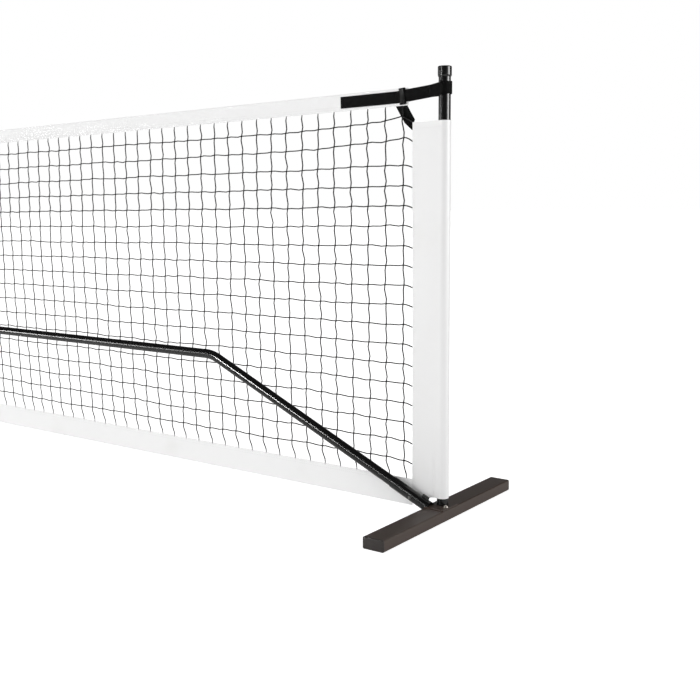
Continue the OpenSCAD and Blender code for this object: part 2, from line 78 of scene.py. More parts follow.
def _operator(operation: str, reflected: bool = False) -> Callable[..., Sock]:
    """Makes an operator out of one operation of the Math node.

    Args:
        operation: The operation.
        reflected: Whether the other value comes before self.

    Returns:
        The operator, as a method.
    """

    def method(self: Sock, *other: Value) -> Sock:
        """Adds the Math node for self and, if there is one, the other value."""
        values = (*other, self) if reflected else (self, *other)
        return self.graph.node("Math", *values, operation=operation)

    return method


class Sock:
    """A node's output that takes part in arithmetic on single values."""

    __add__, __radd__ = _operator("ADD"), _operator("ADD", True)
    __sub__, __rsub__ = _operator("SUBTRACT"), _operator("SUBTRACT", True)
    __mul__, __rmul__ = _operator("MULTIPLY"), _operator("MULTIPLY", True)
    __truediv__, __abs__ = _operator("DIVIDE"), _operator("ABSOLUTE")
    sin, cos, fract = _operator("SINE"), _operator("COSINE"), _operator("FRACT")

    def __init__(self, graph: Graph, socket: Optional[NodeSocket]) -> None:
        """Keeps the graph that gets new nodes and the socket with the value."""
        self.graph, self.socket = graph, socket

    def wave(self, length: float) -> Sock:
        """A wave from 0 to 1 that repeats after length."""
        return (self * (TURN / length)).sin() * 0.5 + 0.5

    def step(self, low: float, high: float) -> Sock:
        """Rises smoothly from 0 at low to 1 at high."""
        ends = (low, high, 0.0, 1.0)
        return self.graph.node("MapRange", self, *ends, interpolation_type="SMOOTHSTEP")


Value = Union[float, Sock]
Input = Union[Value, Colour, Vec, str, None]


class Graph:
    """The node tree of one material or world."""

    def __init__(self, owner: Union[Material, World]) -> None:
        """Empties the owner's node tree.

        Args:
            owner: The material or world to build for.
        """
        owner.use_nodes = True
        self.tree = owner.node_tree
        self.tree.nodes.clear()

    def node(self, kind: str, *first: Input, out: Union[int, str] = 0, **named: Input) -> Sock:
        """Adds one node.

        Args:
            kind: The node's type, without its prefix.
            *first: Values or links for its first sockets; None leaves one as it is.
            out: The output that is handed on, by name or place.
            **named: Its properties in small letters, and values or links for sockets by
                their names, with _ for a blank.

        Returns:
            The chosen output.
        """
        made = self.tree.nodes.new("ShaderNode" + kind)
        sockets = {key: value for key, value in enumerate(first) if value is not None}
        for name, value in named.items():
            if name.islower():
                setattr(made, name, value)
            else:
                sockets[name.replace("_", " ")] = value
        for key, value in sockets.items():
            if isinstance(value, Sock):
                self.tree.links.new(value.socket, made.inputs[key])
            else:
                made.inputs[key].default_value = value
        return Sock(self, made.outputs[out] if len(made.outputs) else None)

    def place(self) -> Sock:
        """The point in the object's own space, in metres."""
        return self.node("TexCoord", out="Object")

    def run(self) -> tuple[Sock, Sock, Sock]:
        """The three values of the run that the mesh carries."""
        run = self.node("Attribute", attribute_name="run", out="Vector")
        return tuple(self.node("SeparateXYZ", run, out=i) for i in range(3))

    def noise(self, scale: float, detail: float = 3.0, stretch: Vec = (1, 1, 1)) -> Sock:
        """Noise about 0.5: its blobs to a metre, its finer layers, its density on each axis."""
        where = self.node("Mapping", Vector=self.place(), Scale=stretch)
        return self.node("TexNoise", Vector=where, Scale=scale, Detail=detail)

    def mix(self, share: Value, a: Colour, b: Colour) -> Sock:
        """A colour between a and b, by share."""
        return self.node("Mix", share, *[None] * 5, a, b, out=2, data_type="RGBA")

    def bump(self, height: Sock, depth: float, normal: Optional[Sock] = None) -> Sock:
        """A normal from a height of 0 to 1 and its depth in metres, over a coarser normal."""
        under = {} if normal is None else {"Normal": normal}
        return self.node("Bump", Height=height, Distance=depth, Strength=1.0, **under)

    def surface(self, **sockets: Input) -> None:
        """Ends a material in one Principled shader with the given values and links."""
        self.node("OutputMaterial", Surface=self.node("BsdfPrincipled", **sockets))


def blank(name: str) -> tuple[Material, Graph]:
    """A new material and its empty graph."""
    material = bpy.data.materials.new(name)
    return material, Graph(material)


def placed(name: str, data: ID) -> Object:
    """Puts a new object in the scene.

    Args:
        name: Its name.
        data: Its mesh, lamp or camera.

    Returns:
        The object.
    """
    made = bpy.data.objects.new(name, data)
    bpy.context.scene.collection.objects.link(made)
    return made


# ---- Finishes ----


def grey(level: float) -> Colour:
    """A neutral colour of the given level."""
    return (level, level, level, 1.0)


@dataclass(frozen=True)
class Finish:
    """What every finish has: a name, its slot in the record, its colour and a second one."""

    name: str
    slot: str
    colour: Colour
    second: Colour

    @cache
    def material(self) -> Material:
        """Builds the material, once for each finish.

        Returns:
            The material.
        """
        material, g = blank(self.name)
        self.draw(g)
        return material

    def draw(self, g: Graph) -> None:
        """Draws the finish into an empty graph."""
        raise NotImplementedError


@dataclass(frozen=True)
class Paint(Finish):
    """Black paint baked on steel: a fine skin and faint rub marks."""

    gloss: float
    skin: float

    def draw(self, g: Graph) -> None:
        """Draws the paint.

        Args:
            g: The empty graph.
        """
        cloud = g.noise(7.0, 4.0)
        rubs = g.noise(60.0, 5.0, (0.25, 1.0, 1.0)).step(0.62, 0.74)
        skin = g.noise(900.0, 1.0)
        grit = g.noise(2600.0, 2.0)
        rough = self.gloss + (cloud - 0.5) * 0.08 + rubs * 0.03 + (grit - 0.5) * 0.02
        colour = g.mix(rubs * 0.35 + cloud.step(0.45, 0.75) * 0.25, self.colour, self.second)
        normal = g.bump(grit, self.skin * 0.25, g.bump(skin, self.skin))
        g.surface(Base_Color=colour, Roughness=rough, Normal=normal)


@dataclass(frozen=True)
class Moulded(Finish):
    """Moulded plastic with a fine spark-eroded grain and lighter rubbed spots."""

    gloss: float
    grain: float
    level: float = 0.5

    def draw(self, g: Graph) -> None:
        """Draws the plastic.

        Args:
            g: The empty graph.
        """
        at = g.place()
        cells = g.node("TexVoronoi", Vector=at, Scale=1500.0, Smoothness=0.6, feature="SMOOTH_F1")
        cloud = g.noise(24.0, 4.0)
        flow = g.noise(90.0, 2.0, (1.0, 1.0, 0.2))
        rough = self.gloss + (cloud - 0.5) * 0.12 + (flow - 0.5) * 0.06
        colour = g.mix(cloud.step(0.48, 0.72) * 0.5, self.colour, self.second)
        normal = g.bump(cells, self.grain)
        g.surface(Base_Color=colour, Roughness=rough, Normal=normal, Specular_IOR_Level=self.level)


@dataclass(frozen=True)
class Plated(Finish):
    """Zinc-plated steel: fine tool marks and cloudy passivation."""

    gloss: float

    def draw(self, g: Graph) -> None:
        """Draws the plating.

        Args:
            g: The empty graph.
        """
        cloud = g.noise(140.0, 4.0)
        marks = g.noise(420.0, 3.0, (1.0, 1.0, 8.0))
        rough = self.gloss + (cloud - 0.5) * 0.16 + (marks - 0.5) * 0.08
        colour = g.mix(cloud.step(0.5, 0.75), self.colour, self.second)
        g.surface(Base_Color=colour, Roughness=rough, Metallic=1.0, Normal=g.bump(marks, 0.00004))


@dataclass(frozen=True)
class Cloth(Finish):
    """White cloth: a plain weave under a coat, soft creases, a little soiling and painted shade in
    the gaps between the threads.
    """

    pitch: float
    weave: float
    crease: float
    gloss: float

    def draw(self, g: Graph) -> None:
        """Draws the cloth.

        Args:
            g: The empty graph.
        """
        along, across, _ = g.run()
        turn = TURN / self.pitch
        threads = (along * turn).sin() * (across * turn).sin() * 0.5 + 0.5
        slack = g.noise(16.0, 3.0, (1.0, 1.0, 0.5))
        dimple = g.noise(110.0, 2.0)
        soil = g.noise(9.0, 5.0).step(0.52, 0.8)
        # The soiling is real; the darker gaps between the threads are painted shade.
        colour = g.mix(soil * 0.5 + (1 - threads) * 0.12, self.colour, self.second)
        rough = self.gloss + (dimple - 0.5) * 0.10 + (1 - threads) * 0.06
        folds = g.bump(dimple, self.crease * 0.15, g.bump(slack, self.crease))
        normal = g.bump(threads, self.weave, folds)
        g.surface(Base_Color=colour, Roughness=rough, Normal=normal, Sheen_Weight=0.08)


@dataclass(frozen=True)
class Webbing(Finish):
    """Flat webbing: ribs in a herringbone, with painted highlight making their crowns paler and
    painted shade darkening the valleys between them.
    """

    rib: float
    bar: float
    depth: float
    end: float = 0.0009

    def draw(self, g: Graph) -> None:
        """Draws the webbing.

        Args:
            g: The empty graph.
        """
        along, across, _ = g.run()
        zigzag = abs((across / self.bar + 0.25).fract() - 0.5) * 2
        rib = (along / self.rib + zigzag * 1.5).wave(1.0)
        height = rib * 0.8 + across.wave(self.end) * 0.2
        fuzz = g.noise(2200.0, 2.0)
        fade = g.noise(35.0, 4.0).step(0.45, 0.75)
        # Rib height gives painted highlight on the crowns and painted shade in the valleys; the
        # faded patches and fuzz are real.
        colour = g.mix(height * 0.55 + fade * 0.3 + (fuzz - 0.5) * 0.3, self.colour, self.second)
        normal = g.bump(fuzz, self.depth * 0.2, g.bump(height, self.depth))
        rough = 0.62 + (fuzz - 0.5) * 0.2
        g.surface(Base_Color=colour, Roughness=rough, Normal=normal, Specular_IOR_Level=0.05)


@dataclass(frozen=True)
class Twine(Finish):
    """Twisted twine: two laid strands with fine filaments, the strands' crowns painted paler as a
    painted highlight and their grooves darker as painted shade.
    """

    lay: float
    depth: float

    def draw(self, g: Graph) -> None:
        """Draws the twine.

        Args:
            g: The empty graph.
        """
        along, side, front = g.run()
        turn = math.pi / self.lay
        strand = abs((along * turn).cos() * side + (along * turn).sin() * front)
        fine = g.noise(3000.0, 1.0)
        # The strand crowns take the paler colour as a painted highlight; the grooves between them
        # stay dark as painted shade.
        colour = g.mix(strand * 0.6 + (fine - 0.5) * 0.4, self.colour, self.second)
        rough = 0.5 + (fine - 0.5) * 0.2
        normal = g.bump(strand, self.depth)
        g.surface(Base_Color=colour, Roughness=rough, Normal=normal, Specular_IOR_Level=0.2)


@dataclass(frozen=True)
class SewingThread(Finish):
    """Spun sewing thread with a tight twist, painted darker in the grooves of the twist as painted
    shade.
    """

    twist: float = 0.0007

    def draw(self, g: Graph) -> None:
        """Draws the thread.

        Args:
            g: The empty graph.
        """
        ply = g.run()[0].wave(self.twist)
        fluff = g.noise(2500.0, 1.0)
        # The twist's grooves take the second colour: painted shade where the ply dips.
        colour = g.mix(ply * 0.5 + fluff * 0.4, self.second, self.colour)
        rough = 0.6 + (fluff - 0.5) * 0.2
        g.surface(Base_Color=colour, Roughness=rough, Normal=g.bump(ply, 0.00006))


FOOT_BROWN = ((0.039, 0.022, 0.014, 1), (0.052, 0.032, 0.021, 1))
CAP_BROWN = ((0.030, 0.025, 0.023, 1), (0.042, 0.036, 0.034, 1))
ZINC = ((0.50, 0.47, 0.43, 1), (0.34, 0.32, 0.29, 1))
DULL_ZINC = ((0.16, 0.155, 0.15, 1), (0.10, 0.10, 0.095, 1))
# The second colours of VINYL and BAND serve both the soiling and the painted shade between the
# cloth's threads.
VINYL = (grey(0.82), (0.765, 0.76, 0.745, 1))
BAND = (grey(0.90), (0.83, 0.825, 0.815, 1))

STEEL = Paint("black_paint", "steel_black", grey(0.005), grey(0.010), 0.20, 0.0000006)
FOOT_STEEL = Paint("satin_foot_paint", "foot_black", *FOOT_BROWN, 0.44, 0.00002)
FOOT_PLASTIC = Moulded("foot_cap_plastic", "foot_plastic", *CAP_BROWN, 0.50, 0.00003, 0.3)
BUCKLE_PLASTIC = Moulded(
    "buckle_plastic", "plastic_black", grey(0.003), grey(0.007), 0.46, 0.000012, 0.12
)
PLASTIC = Moulded("cap_plastic", "plastic_black", grey(0.005), grey(0.010), 0.22, 0.000006)
BRIGHT = Plated("zinc_plate", "bright_steel", *ZINC, 0.36)
DULL = Plated("dull_zinc", "bright_steel", *DULL_ZINC, 0.40)
SLEEVE_CLOTH = Cloth("sleeve_vinyl", "vinyl_white", *VINYL, 0.0016, 0.00003, 0.0004, 0.42)
BAND_CLOTH = Cloth("band_cloth", "vinyl_white", *BAND, 0.0011, 0.00008, 0.0005, 0.62)
# The webbing's second colour is the painted highlight on its ribs' crowns, also used for faded
# patches.
WEBBING = Webbing(
    "strap_webbing", "webbing_black", grey(0.001), grey(0.006), 0.0017, 0.0063, 0.00018
)
# The twine's second colour is the painted highlight on its strands' crowns.
TWINE = Twine("net_twine", "twine_black", grey(0.006), grey(0.018), 0.0045, 0.0003)
# The threads' second colours are the painted shade in the grooves of their twist.
WHITE_THREAD = SewingThread("white_thread", "vinyl_white", grey(0.84), grey(0.62))
BLACK_THREAD = SewingThread("black_thread", "webbing_black", grey(0.022), grey(0.008))


# ---- Where things are ----


class Side(Enum):
    """The two ends of the net."""

    RIGHT = 1
    LEFT = -1

    @property
    def word(self) -> str:
        """The side's name in the names of pieces and bodies."""
        return self.name.lower()


@dataclass(frozen=True)
class Layout:
    """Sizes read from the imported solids, in metres."""

    net_x: float
    hem_top: float
    hem_low: float
    band_x: float
    band_h: float
    band_mid: float
    slope: float
    post_x: float
    post_r: float
    arm_y: float
    plate_top: float

    @classmethod
    def read(cls) -> Layout:
        """Reads the sizes.

        Returns:
            The layout.
        """
        net_lo, net_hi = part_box("net_mesh")
        band_lo, band_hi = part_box("top_band")
        post_lo, post_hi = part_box("right_post")
        tube_lo, tube_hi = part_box("right_arm_tube_2")
        slope = (net_hi.z - band_lo.z) / net_hi.x
        return cls(
            net_x=net_hi.x,
            hem_top=net_lo.z,
            hem_low=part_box("bottom_hem")[0].z,
            band_x=band_hi.x,
            band_h=band_hi.z - band_lo.z - slope * band_hi.x,
            band_mid=band_lo.z,
            slope=slope,
            post_x=(post_lo.x + post_hi.x) / 2,
            post_r=(post_hi.x - post_lo.x) / 2,
            arm_y=(tube_lo.y + tube_hi.y) / 2,
            plate_top=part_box("right_base_plate")[1].z,
        )

    def band_low(self, x: Array) -> Array:
        """The band's lower edge over the floor."""
        return self.band_mid + self.slope * np.abs(x)


LAY = Layout.read()


# ---- Lines and surfaces ----


def unit(v: Array) -> Array:
    """The same directions with a length of one."""
    return v / np.linalg.norm(v, axis=-1, keepdims=True)


def heading(path: Array) -> Array:
    """A path's direction at each of its points."""
    return unit(np.gradient(path, axis=0))


def outward(path: Array) -> Array:
    """The level direction to the right of a plan path at each of its points."""
    ahead = heading(path)
    return join(ahead[:, 1], -ahead[:, 0], 0.0)


def travelled(path: Array) -> Array:
    """How far along a path each of its points lies."""
    return np.concatenate([[0], np.cumsum(np.linalg.norm(np.diff(path, axis=0), axis=1))])


def join(*parts: Union[float, Array]) -> Array:
    """Points from their coordinates, each stretched to the shape that all share."""
    return np.stack(np.broadcast_arrays(*parts), -1)


def around(sides: int, first: float = 0.0) -> Array:
    """Angles that divide a circle, the first one a share of a step past zero."""
    return (np.arange(sides) + first) * TURN / sides


def circle(angle: Array, radius: Union[float, Array] = 1.0, z: float = 0.0) -> Array:
    """Points at the given angles on a level circle."""
    return join(radius * np.cos(angle), radius * np.sin(angle), z)


def ease(low: float, high: float, x: Array) -> Array:
    """Rises smoothly from 0 at low to 1 at high."""
    t = np.clip((np.asarray(x, float) - low) / (high - low), 0, 1)
    return t * t * (3 - 2 * t)


def mirrored(half: Array) -> Array:
    """The right half of a plan line, from its left half."""
    return (half * [-1, 1])[::-1]


def hoops(path: Array, ahead: Array, hint: Array, radius: Array, angle: Array) -> Array:
    """Rings of points about a path.

    Args:
        path: The rings' middles.
        ahead: The path's direction at each.
        hint: A direction off the path's own; the angles start square to both.
        radius: Each ring's radius.
        angle: The angles of a ring's points.

    Returns:
        Rings by points by three.
    """
    side = unit(np.cross(ahead, hint))
    up = np.cross(side, ahead)
    spoke = side[:, None] * np.cos(angle)[:, None] + up[:, None] * np.sin(angle)[:, None]
    return path[:, None] + spoke * radius[:, None, None]


def double_skin(base: Array, path: Array, thick: float) -> tuple[Array, Array]:
    """Gives an upright sheet its thickness.

    Args:
        base: Its middle surface, levels by points by three.
        path: Its plan line, before it is bent.
        thick: Its thickness.

    Returns:
        The closed outline at each level, and its runs.
    """
    offset = outward(path) * thick / 2
    skin = np.concatenate([base + offset, (base - offset)[:, ::-1]], 1)
    length = travelled(path)
    return skin, join(np.concatenate([length, length[::-1]]), skin[..., 2], 0.0)


def strip_section(width: float, thick: float, divisions: int, edge: float = 0.0008) -> Array:
    """The closed outline of a flat strip with soft edges, across and through it.

    Args:
        width: Its width.
        thick: Its thickness.
        divisions: How many parts each face has.
        edge: How far the edges are rounded.

    Returns:
        Points of across and through.
    """
    w, t = width / 2, thick / 2
    front = [(v, -t) for v in np.linspace(-w + edge, w - edge, divisions + 1)]
    back = [(v, t) for v in np.linspace(w - edge, -w + edge, divisions + 1)]
    return np.array(front + [(w, -t * 0.4), (w, t * 0.4)] + back + [(-w, t * 0.4), (-w, -t * 0.4)])


class Ripple:
    """A smooth wavy value, made of a few seeded waves."""

    def __init__(self, seed: int, longest: float, shortest: float, waves: int = 6) -> None:
        """Draws the waves.

        Args:
            seed: Where the random numbers start.
            longest: The longest wave in metres.
            shortest: The shortest wave in metres.
            waves: How many waves there are.
        """
        rng = np.random.default_rng(seed)
        length = np.geomspace(longest, shortest, waves)
        turn = rng.uniform(0, TURN, waves)
        self.kx = TURN / length * np.cos(turn)
        self.kz = TURN / length * np.sin(turn)
        self.phase = rng.uniform(0, TURN, waves)
        size = np.sqrt(length / length.max())
        self.size = size / size.sum()

    def __call__(self, x: Array, z: Union[float, Array] = 0.0) -> Array:
        """The value at x and z, within -1 and 1."""
        x, z = np.broadcast_arrays(np.asarray(x, float)[..., None], np.asarray(z, float)[..., None])
        return (np.sin(x * self.kx + z * self.kz + self.phase) * self.size).sum(-1)


# ---- Shapes ----


class Shape:
    """Gathers the points and faces of one piece. Each point has its run over the material."""

    def __init__(self, side: Optional[Side] = None) -> None:
        """Starts empty.

        Args:
            side: The side at whose post the shape stands. Its points are then measured from
                the right post. Without it they are in the frame's own place.
        """
        self.side = side
        self.points: list[Array] = []
        self.runs: list[Array] = []
        self.faces: list[list[int]] = []
        self.count = 0

    def add(self, points: Array, runs: Optional[Array] = None) -> int:
        """Adds loose points.

        Args:
            points: The points, three numbers each.
            runs: Their runs; the points themselves if left out.

        Returns:
            The first point's number.
        """
        flat = np.reshape(points, (-1, 3))
        self.runs.append(flat if runs is None else np.reshape(runs, (-1, 3)))
        if self.side is not None:
            flat = (flat + [LAY.post_x, 0, 0]) * [self.side.value, 1, 1]
        self.points.append(flat)
        self.count += len(flat)
        return self.count - len(flat)

    def loft(self, rings: Array, runs: Optional[Array] = None, joined: bool = False) -> None:
        """Adds a skin of quads through rings of points.

        Args:
            rings: Rings by points by three.
            runs: The runs, shaped as the rings.
            joined: Whether the last ring joins the first; if not, both are filled.
        """
        rows, sides = rings.shape[:2]
        number = self.add(rings, runs) + np.arange(rows * sides).reshape(rows, sides)
        ends = [] if joined else [number[0].tolist(), number[-1, ::-1].tolist()]
        if joined:
            number = np.vstack([number, number[:1]])
        number = np.hstack([number, number[:, :1]])
        quads = join(number[:-1, :-1], number[:-1, 1:], number[1:, 1:], number[1:, :-1])
        self.faces += quads.reshape(-1, 4).tolist() + ends

    def lathe(self, outline: Sequence[Pair], sides: int, at: Vec) -> None:
        """Turns an outline of radius and height, bottom first, about the upright axis at a foot."""
        self.loft(np.array([circle(around(sides), r, z) for r, z in outline]) + at)

    def block(self, middle: Vec, size: Vec, radius: float, place: Matrix) -> None:
        """Adds a block with rounded edges.

        Args:
            middle: Its middle, before it is placed.
            size: Its full size.
            radius: The radius of its edges.
            place: Where the block goes.
        """
        mesh = bmesh.new()
        box = Matrix.Translation(middle) @ Matrix.Diagonal((*size, 1.0))
        bmesh.ops.create_cube(mesh, size=1.0, matrix=box)
        bmesh.ops.bevel(
            mesh, geom=list(mesh.edges), offset=radius, segments=3, profile=0.5, affect="EDGES"
        )
        mesh.verts.index_update()
        first = self.add(np.array([place @ v.co for v in mesh.verts]))
        self.faces.extend([[first + v.index for v in f.verts] for f in mesh.faces])
        mesh.free()

    def bead(self, path: Array, radius: float, round_path: bool = False) -> None:
        """Lays a rippled weld bead along a path.

        Args:
            path: The points it follows.
            radius: Its mean radius.
            round_path: Whether the path closes on itself.
        """
        ahead = heading(path)
        if round_path:
            ahead = unit(np.roll(path, -1, 0) - np.roll(path, 1, 0))
        hint = np.where(np.abs(ahead[:, 2:]) > 0.9, [1.0, 0, 0], [0, 0, 1.0])
        size = radius * (1 + 0.16 * np.cos(np.arange(len(path)) * math.pi))
        self.loft(hoops(path, ahead, hint, size, around(6)), joined=round_path)

    def stitches(
        self, path: Array, out: Array, pitch: float = 0.0055, width: float = 0.00035
    ) -> None:
        """Sews a row of stitches along a path.

        Args:
            path: The points the row follows on the cloth's surface.
            out: The cloth's outward direction, once or at each point.
            pitch: From one stitch to the next.
            width: Half a stitch's width.
        """
        run = travelled(path)
        out = np.broadcast_to(out, path.shape)
        long = pitch * 0.72
        count = int((run[-1] - pitch) / pitch)
        starts = (run[-1] - count * pitch) / 2 + np.arange(count) * pitch
        a, b, lift = (
            join(*(np.interp(starts + past, run, column) for column in of.T))
            for past, of in ((0.0, path), (long, path), (long / 2, out))
        )
        side, middle = np.cross(unit(b - a), lift) * width, (a + b) / 2
        over, under = middle + lift * width * 1.3, middle - lift * width * 0.3
        corners = np.stack([a, middle + side, b, middle - side, over, under], 1)
        share = np.array([0, 0.5, 1, 0.5, 0.5, 0.5])
        first = self.add(corners, join(starts[:, None] + share * long, 0.0, 0.0))
        rim = ((0, 1), (1, 2), (2, 3), (3, 0))
        pattern = np.array([(a, b, 4) for a, b in rim] + [(b, a, 5) for a, b in rim])
        numbers = first + 6 * np.arange(count)[:, None, None] + pattern
        self.faces += numbers.reshape(-1, 3).tolist()

    def piece(
        self, name: str, finish: Finish, node: str = "", smooth: float = 60.0, body: str = "frame"
    ) -> Object:
        """Makes the object, dresses it and puts it on its body.

        Args:
            name: The piece's name.
            finish: Its finish.
            node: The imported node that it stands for, if any.
            smooth: The sharpest edge, in degrees, that is still shaded smooth.
            body: The body it rides on.

        Returns:
            The piece.
        """
        mesh = bpy.data.meshes.new(name)
        mesh.from_pydata(np.concatenate(self.points).tolist(), [], self.faces)
        runs = mesh.attributes.new("run", "FLOAT_VECTOR", "POINT")
        runs.data.foreach_set("vector", np.concatenate(self.runs).ravel())
        mesh.materials.append(finish.material())
        work = bmesh.new()
        work.from_mesh(mesh)
        bmesh.ops.recalc_face_normals(work, faces=work.faces)
        work.to_mesh(mesh)
        work.free()
        mesh.shade_smooth()
        mesh.set_sharp_from_angle(angle=math.radians(smooth))
        made = placed(name, mesh)
        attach(made, body)
        if node:
            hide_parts(node)
        log.info("%s: %d faces", name, len(mesh.polygons))
        return made


# ---- The net ----


@dataclass(frozen=True)
class Hang:
    """The hanging plane that the net, its band and its hem share."""

    bulge: float = -0.0064
    bulge_wave: float = 0.0012
    top_wave: float = 0.0010
    foot_wave: float = 0.0016
    end_fade: float = 0.3
    hub_fade: float = 0.16
    hub_hold: float = 0.75
    belly: Ripple = Ripple(11, 2.4, 0.5)
    top: Ripple = Ripple(12, 1.6, 0.35)
    foot: Ripple = Ripple(13, 1.3, 0.28)

    def depth(self, x: Array, z: Union[float, Array]) -> Array:
        """How far the plane lies behind (or, below zero, in front of) the posts' line.

        Args:
            x: Along the net.
            z: Over the floor.

        Returns:
            The plane's Y.
        """
        share = np.clip((z - LAY.hem_top) / (LAY.band_low(x) - LAY.hem_top), 0, 1)
        ends = 1 - np.exp(-np.maximum(LAY.net_x - np.abs(x), 0) / self.end_fade)
        hub = 1 - self.hub_hold * np.exp(-((x / self.hub_fade) ** 2))
        arch = np.sin(math.pi * share) ** 0.8 * ends * hub
        belly = (self.bulge + self.bulge_wave * self.belly(x, z)) * arch
        still = ease(LAY.band_x - 0.18, LAY.band_x - 0.5, np.abs(x)) * ease(0.1, 0.35, np.abs(x))
        top = self.top_wave * self.top(x) * share * still
        return belly + top + self.foot_wave * self.foot(x) * (1 - share) * ends * hub


@dataclass(frozen=True)
class KnottedNet:
    """Black twine knotted to square meshes between the band, the hem and the two sleeves."""

    hang: Hang
    threads: int = 144
    rows: int = 18
    first_row: float = 0.0447
    row_pitch: float = 0.05323
    radius: float = 0.00140
    parts: int = 4
    sides: int = 6
    knot: Vec = (0.0027, 0.0021, 0.0019)
    sway: Pair = (0.0045, 0.0009)
    lift: Pair = (0.0040, 0.0008)
    hem_pull: float = 0.008
    corner_drop: float = 0.015
    swing: float = 0.0016
    bow: float = 0.0007
    under_sleeve: float = 0.004

    def knots(self) -> tuple[Array, Array]:
        """Where the knots lie.

        Returns:
            X and Z of each knot, threads by rows, with the band's and the hem's ends as the
            first and the last row.
        """
        rng = np.random.default_rng(5)
        pitch = 2 * LAY.net_x / self.threads
        x = -LAY.net_x + pitch * (np.arange(self.threads) + 0.5)
        inside = self.first_row + self.row_pitch * np.arange(self.rows)
        px = np.repeat(x[:, None], self.rows + 2, 1)
        height = LAY.band_low(px) - LAY.hem_top
        pz = LAY.band_low(px) - height * np.concatenate([[0.0], inside, [1.0]])
        inner = np.ones(self.rows + 2)
        inner[[0, -1]] = 0
        (wave, chance), sway = self.sway, Ripple(21, 1.4, 0.12, 8)
        px = px + (wave * sway(px, pz) + chance * rng.standard_normal(px.shape)) * inner
        (wave, chance), lift = self.lift, Ripple(22, 1.1, 0.10, 8)
        pz = pz + (wave * lift(px, pz) + chance * rng.standard_normal(px.shape)) * inner
        # The hem draws its ends aside, and the knots by the sleeves hang lower or higher.
        end = np.exp(-(LAY.net_x - np.abs(x)) / 0.5) * np.sign(x)
        px[:, -1] += self.hem_pull + 0.002 * end + 0.001 * rng.standard_normal(len(x))
        px[:, -2] -= 0.002 * end
        pz[[0, -1], 1] += self.corner_drop
        px[[0, -1], 1] += [0.002, -0.002]
        near = np.exp(-((LAY.net_x - np.abs(x)) / 0.22) ** 2)
        pz[1:-1, 1] += 0.008 * near[1:-1]
        pz[:, 2] += 0.010 * near
        pz[[0, -1], 2] += 0.005
        return px, pz

    def _tube(self, shape: Shape, x: Array, z: Array, radius: Array) -> None:
        """Adds one thread as a tube, with its twist's phase as the run.

        Args:
            shape: Where the thread goes.
            x: Its points along the net.
            z: Their heights.
            radius: Its radius at each.
        """
        path, angle = join(x, self.hang.depth(x, z), z), around(self.sides, 0.5)
        rings = hoops(path, heading(path), [0.0, 1.0, 0.0], radius, angle)
        shape.loft(rings, join(travelled(path)[:, None], np.cos(angle), np.sin(angle)))

    def _between(self, knots: Array) -> tuple[Array, Array]:
        """A coordinate at each part of each gap from knot to knot, and the parts' shares."""
        t = np.arange(self.parts) / self.parts
        return knots[:-1, None] * (1 - t) + knots[1:, None] * t, t

    def _verticals(self, shape: Shape, px: Array, pz: Array, chosen: Sequence[int]) -> None:
        """Hangs the chosen upright threads.

        Args:
            shape: Where the threads go.
            px: The knots' X.
            pz: The knots' Z.
            chosen: The threads' numbers.
        """
        rng = np.random.default_rng(31)
        swing = self.swing * (1 + 0.25 * rng.standard_normal((self.threads, self.rows + 1)))
        for k in chosen:
            x, t = self._between(px[k])
            x -= swing[k][:, None] * np.sin(TURN * t)
            x[-1] -= 0.0018 * np.sin(math.pi * t)
            z = np.append(self._between(pz[k])[0], pz[k, -1])
            z[0] += 0.006
            z[-1] -= 0.008
            radius = np.full(len(z), self.radius)
            radius[[0, -1]] *= 0.45
            self._tube(shape, np.append(x, px[k, -1]), z, radius)

    def _levels(
        self, shape: Shape, px: Array, pz: Array, chosen: Sequence[int], side: Side
    ) -> None:
        """Runs one half of each level thread, from the middle out to the sleeve.

        The last part humps down to the sleeve; the first row runs up to the sleeve's top.

        Args:
            shape: Where the threads go.
            px: The knots' X.
            pz: The knots' Z.
            chosen: The half's upright threads, from the middle out.
            side: Which half it is.
        """
        rng = np.random.default_rng(41)
        bow = self.bow * (1 + 0.4 * rng.standard_normal((self.rows + 1, len(chosen))))
        middle = self.threads // 2
        last = np.arange(self.parts + 1) / self.parts
        end_x = (LAY.net_x + self.under_sleeve) * side.value
        for row in range(1, self.rows + 1):
            kx, kz = px[chosen, row], pz[chosen, row]
            centre = (pz[middle, row] + pz[middle - 1, row]) / 2
            end_z, late = kz[-1] - (0.013 if row == 2 else 0.0075), 1.9
            if row == 1:
                end_z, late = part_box("right_sleeve")[1].z - 0.002, 1.0
            x, z = self._between(kx)[0], self._between(kz)[0]
            t = last[:-1]
            z += side.value * bow[row, :-1, None] * np.sin(TURN * t) - 0.0005 * np.sin(math.pi * t)
            x = np.concatenate([[0.0], x.ravel(), kx[-1] * (1 - last) + end_x * last])
            z = np.concatenate([[centre], z.ravel(), kz[-1] + (end_z - kz[-1]) * last**late])
            radius = np.full(len(x), self.radius)
            radius[-1] *= 0.3
            self._tube(shape, x, z, radius)

    def _tie(self, shape: Shape, at: Vec, tilt: float) -> None:
        """Ties one knot: a small slanting lump.

        Args:
            shape: Where the knot goes.
            at: Its middle.
            tilt: How far it leans, in radians.
        """
        long, wide, deep = self.knot
        angle = around(self.sides)
        polar = np.array([0.04, math.pi / 4, math.pi / 2, 3 * math.pi / 4, math.pi - 0.04])[:, None]
        x, y = wide * np.sin(polar) * np.cos(angle), deep * np.sin(polar) * np.sin(angle)
        z = long * np.cos(polar)
        c, s = math.cos(tilt), math.sin(tilt)
        runs = join(z * 1.7, np.cos(angle), np.sin(angle))
        shape.loft(join(x * c + z * s, y, z * c - x * s) + at, runs)

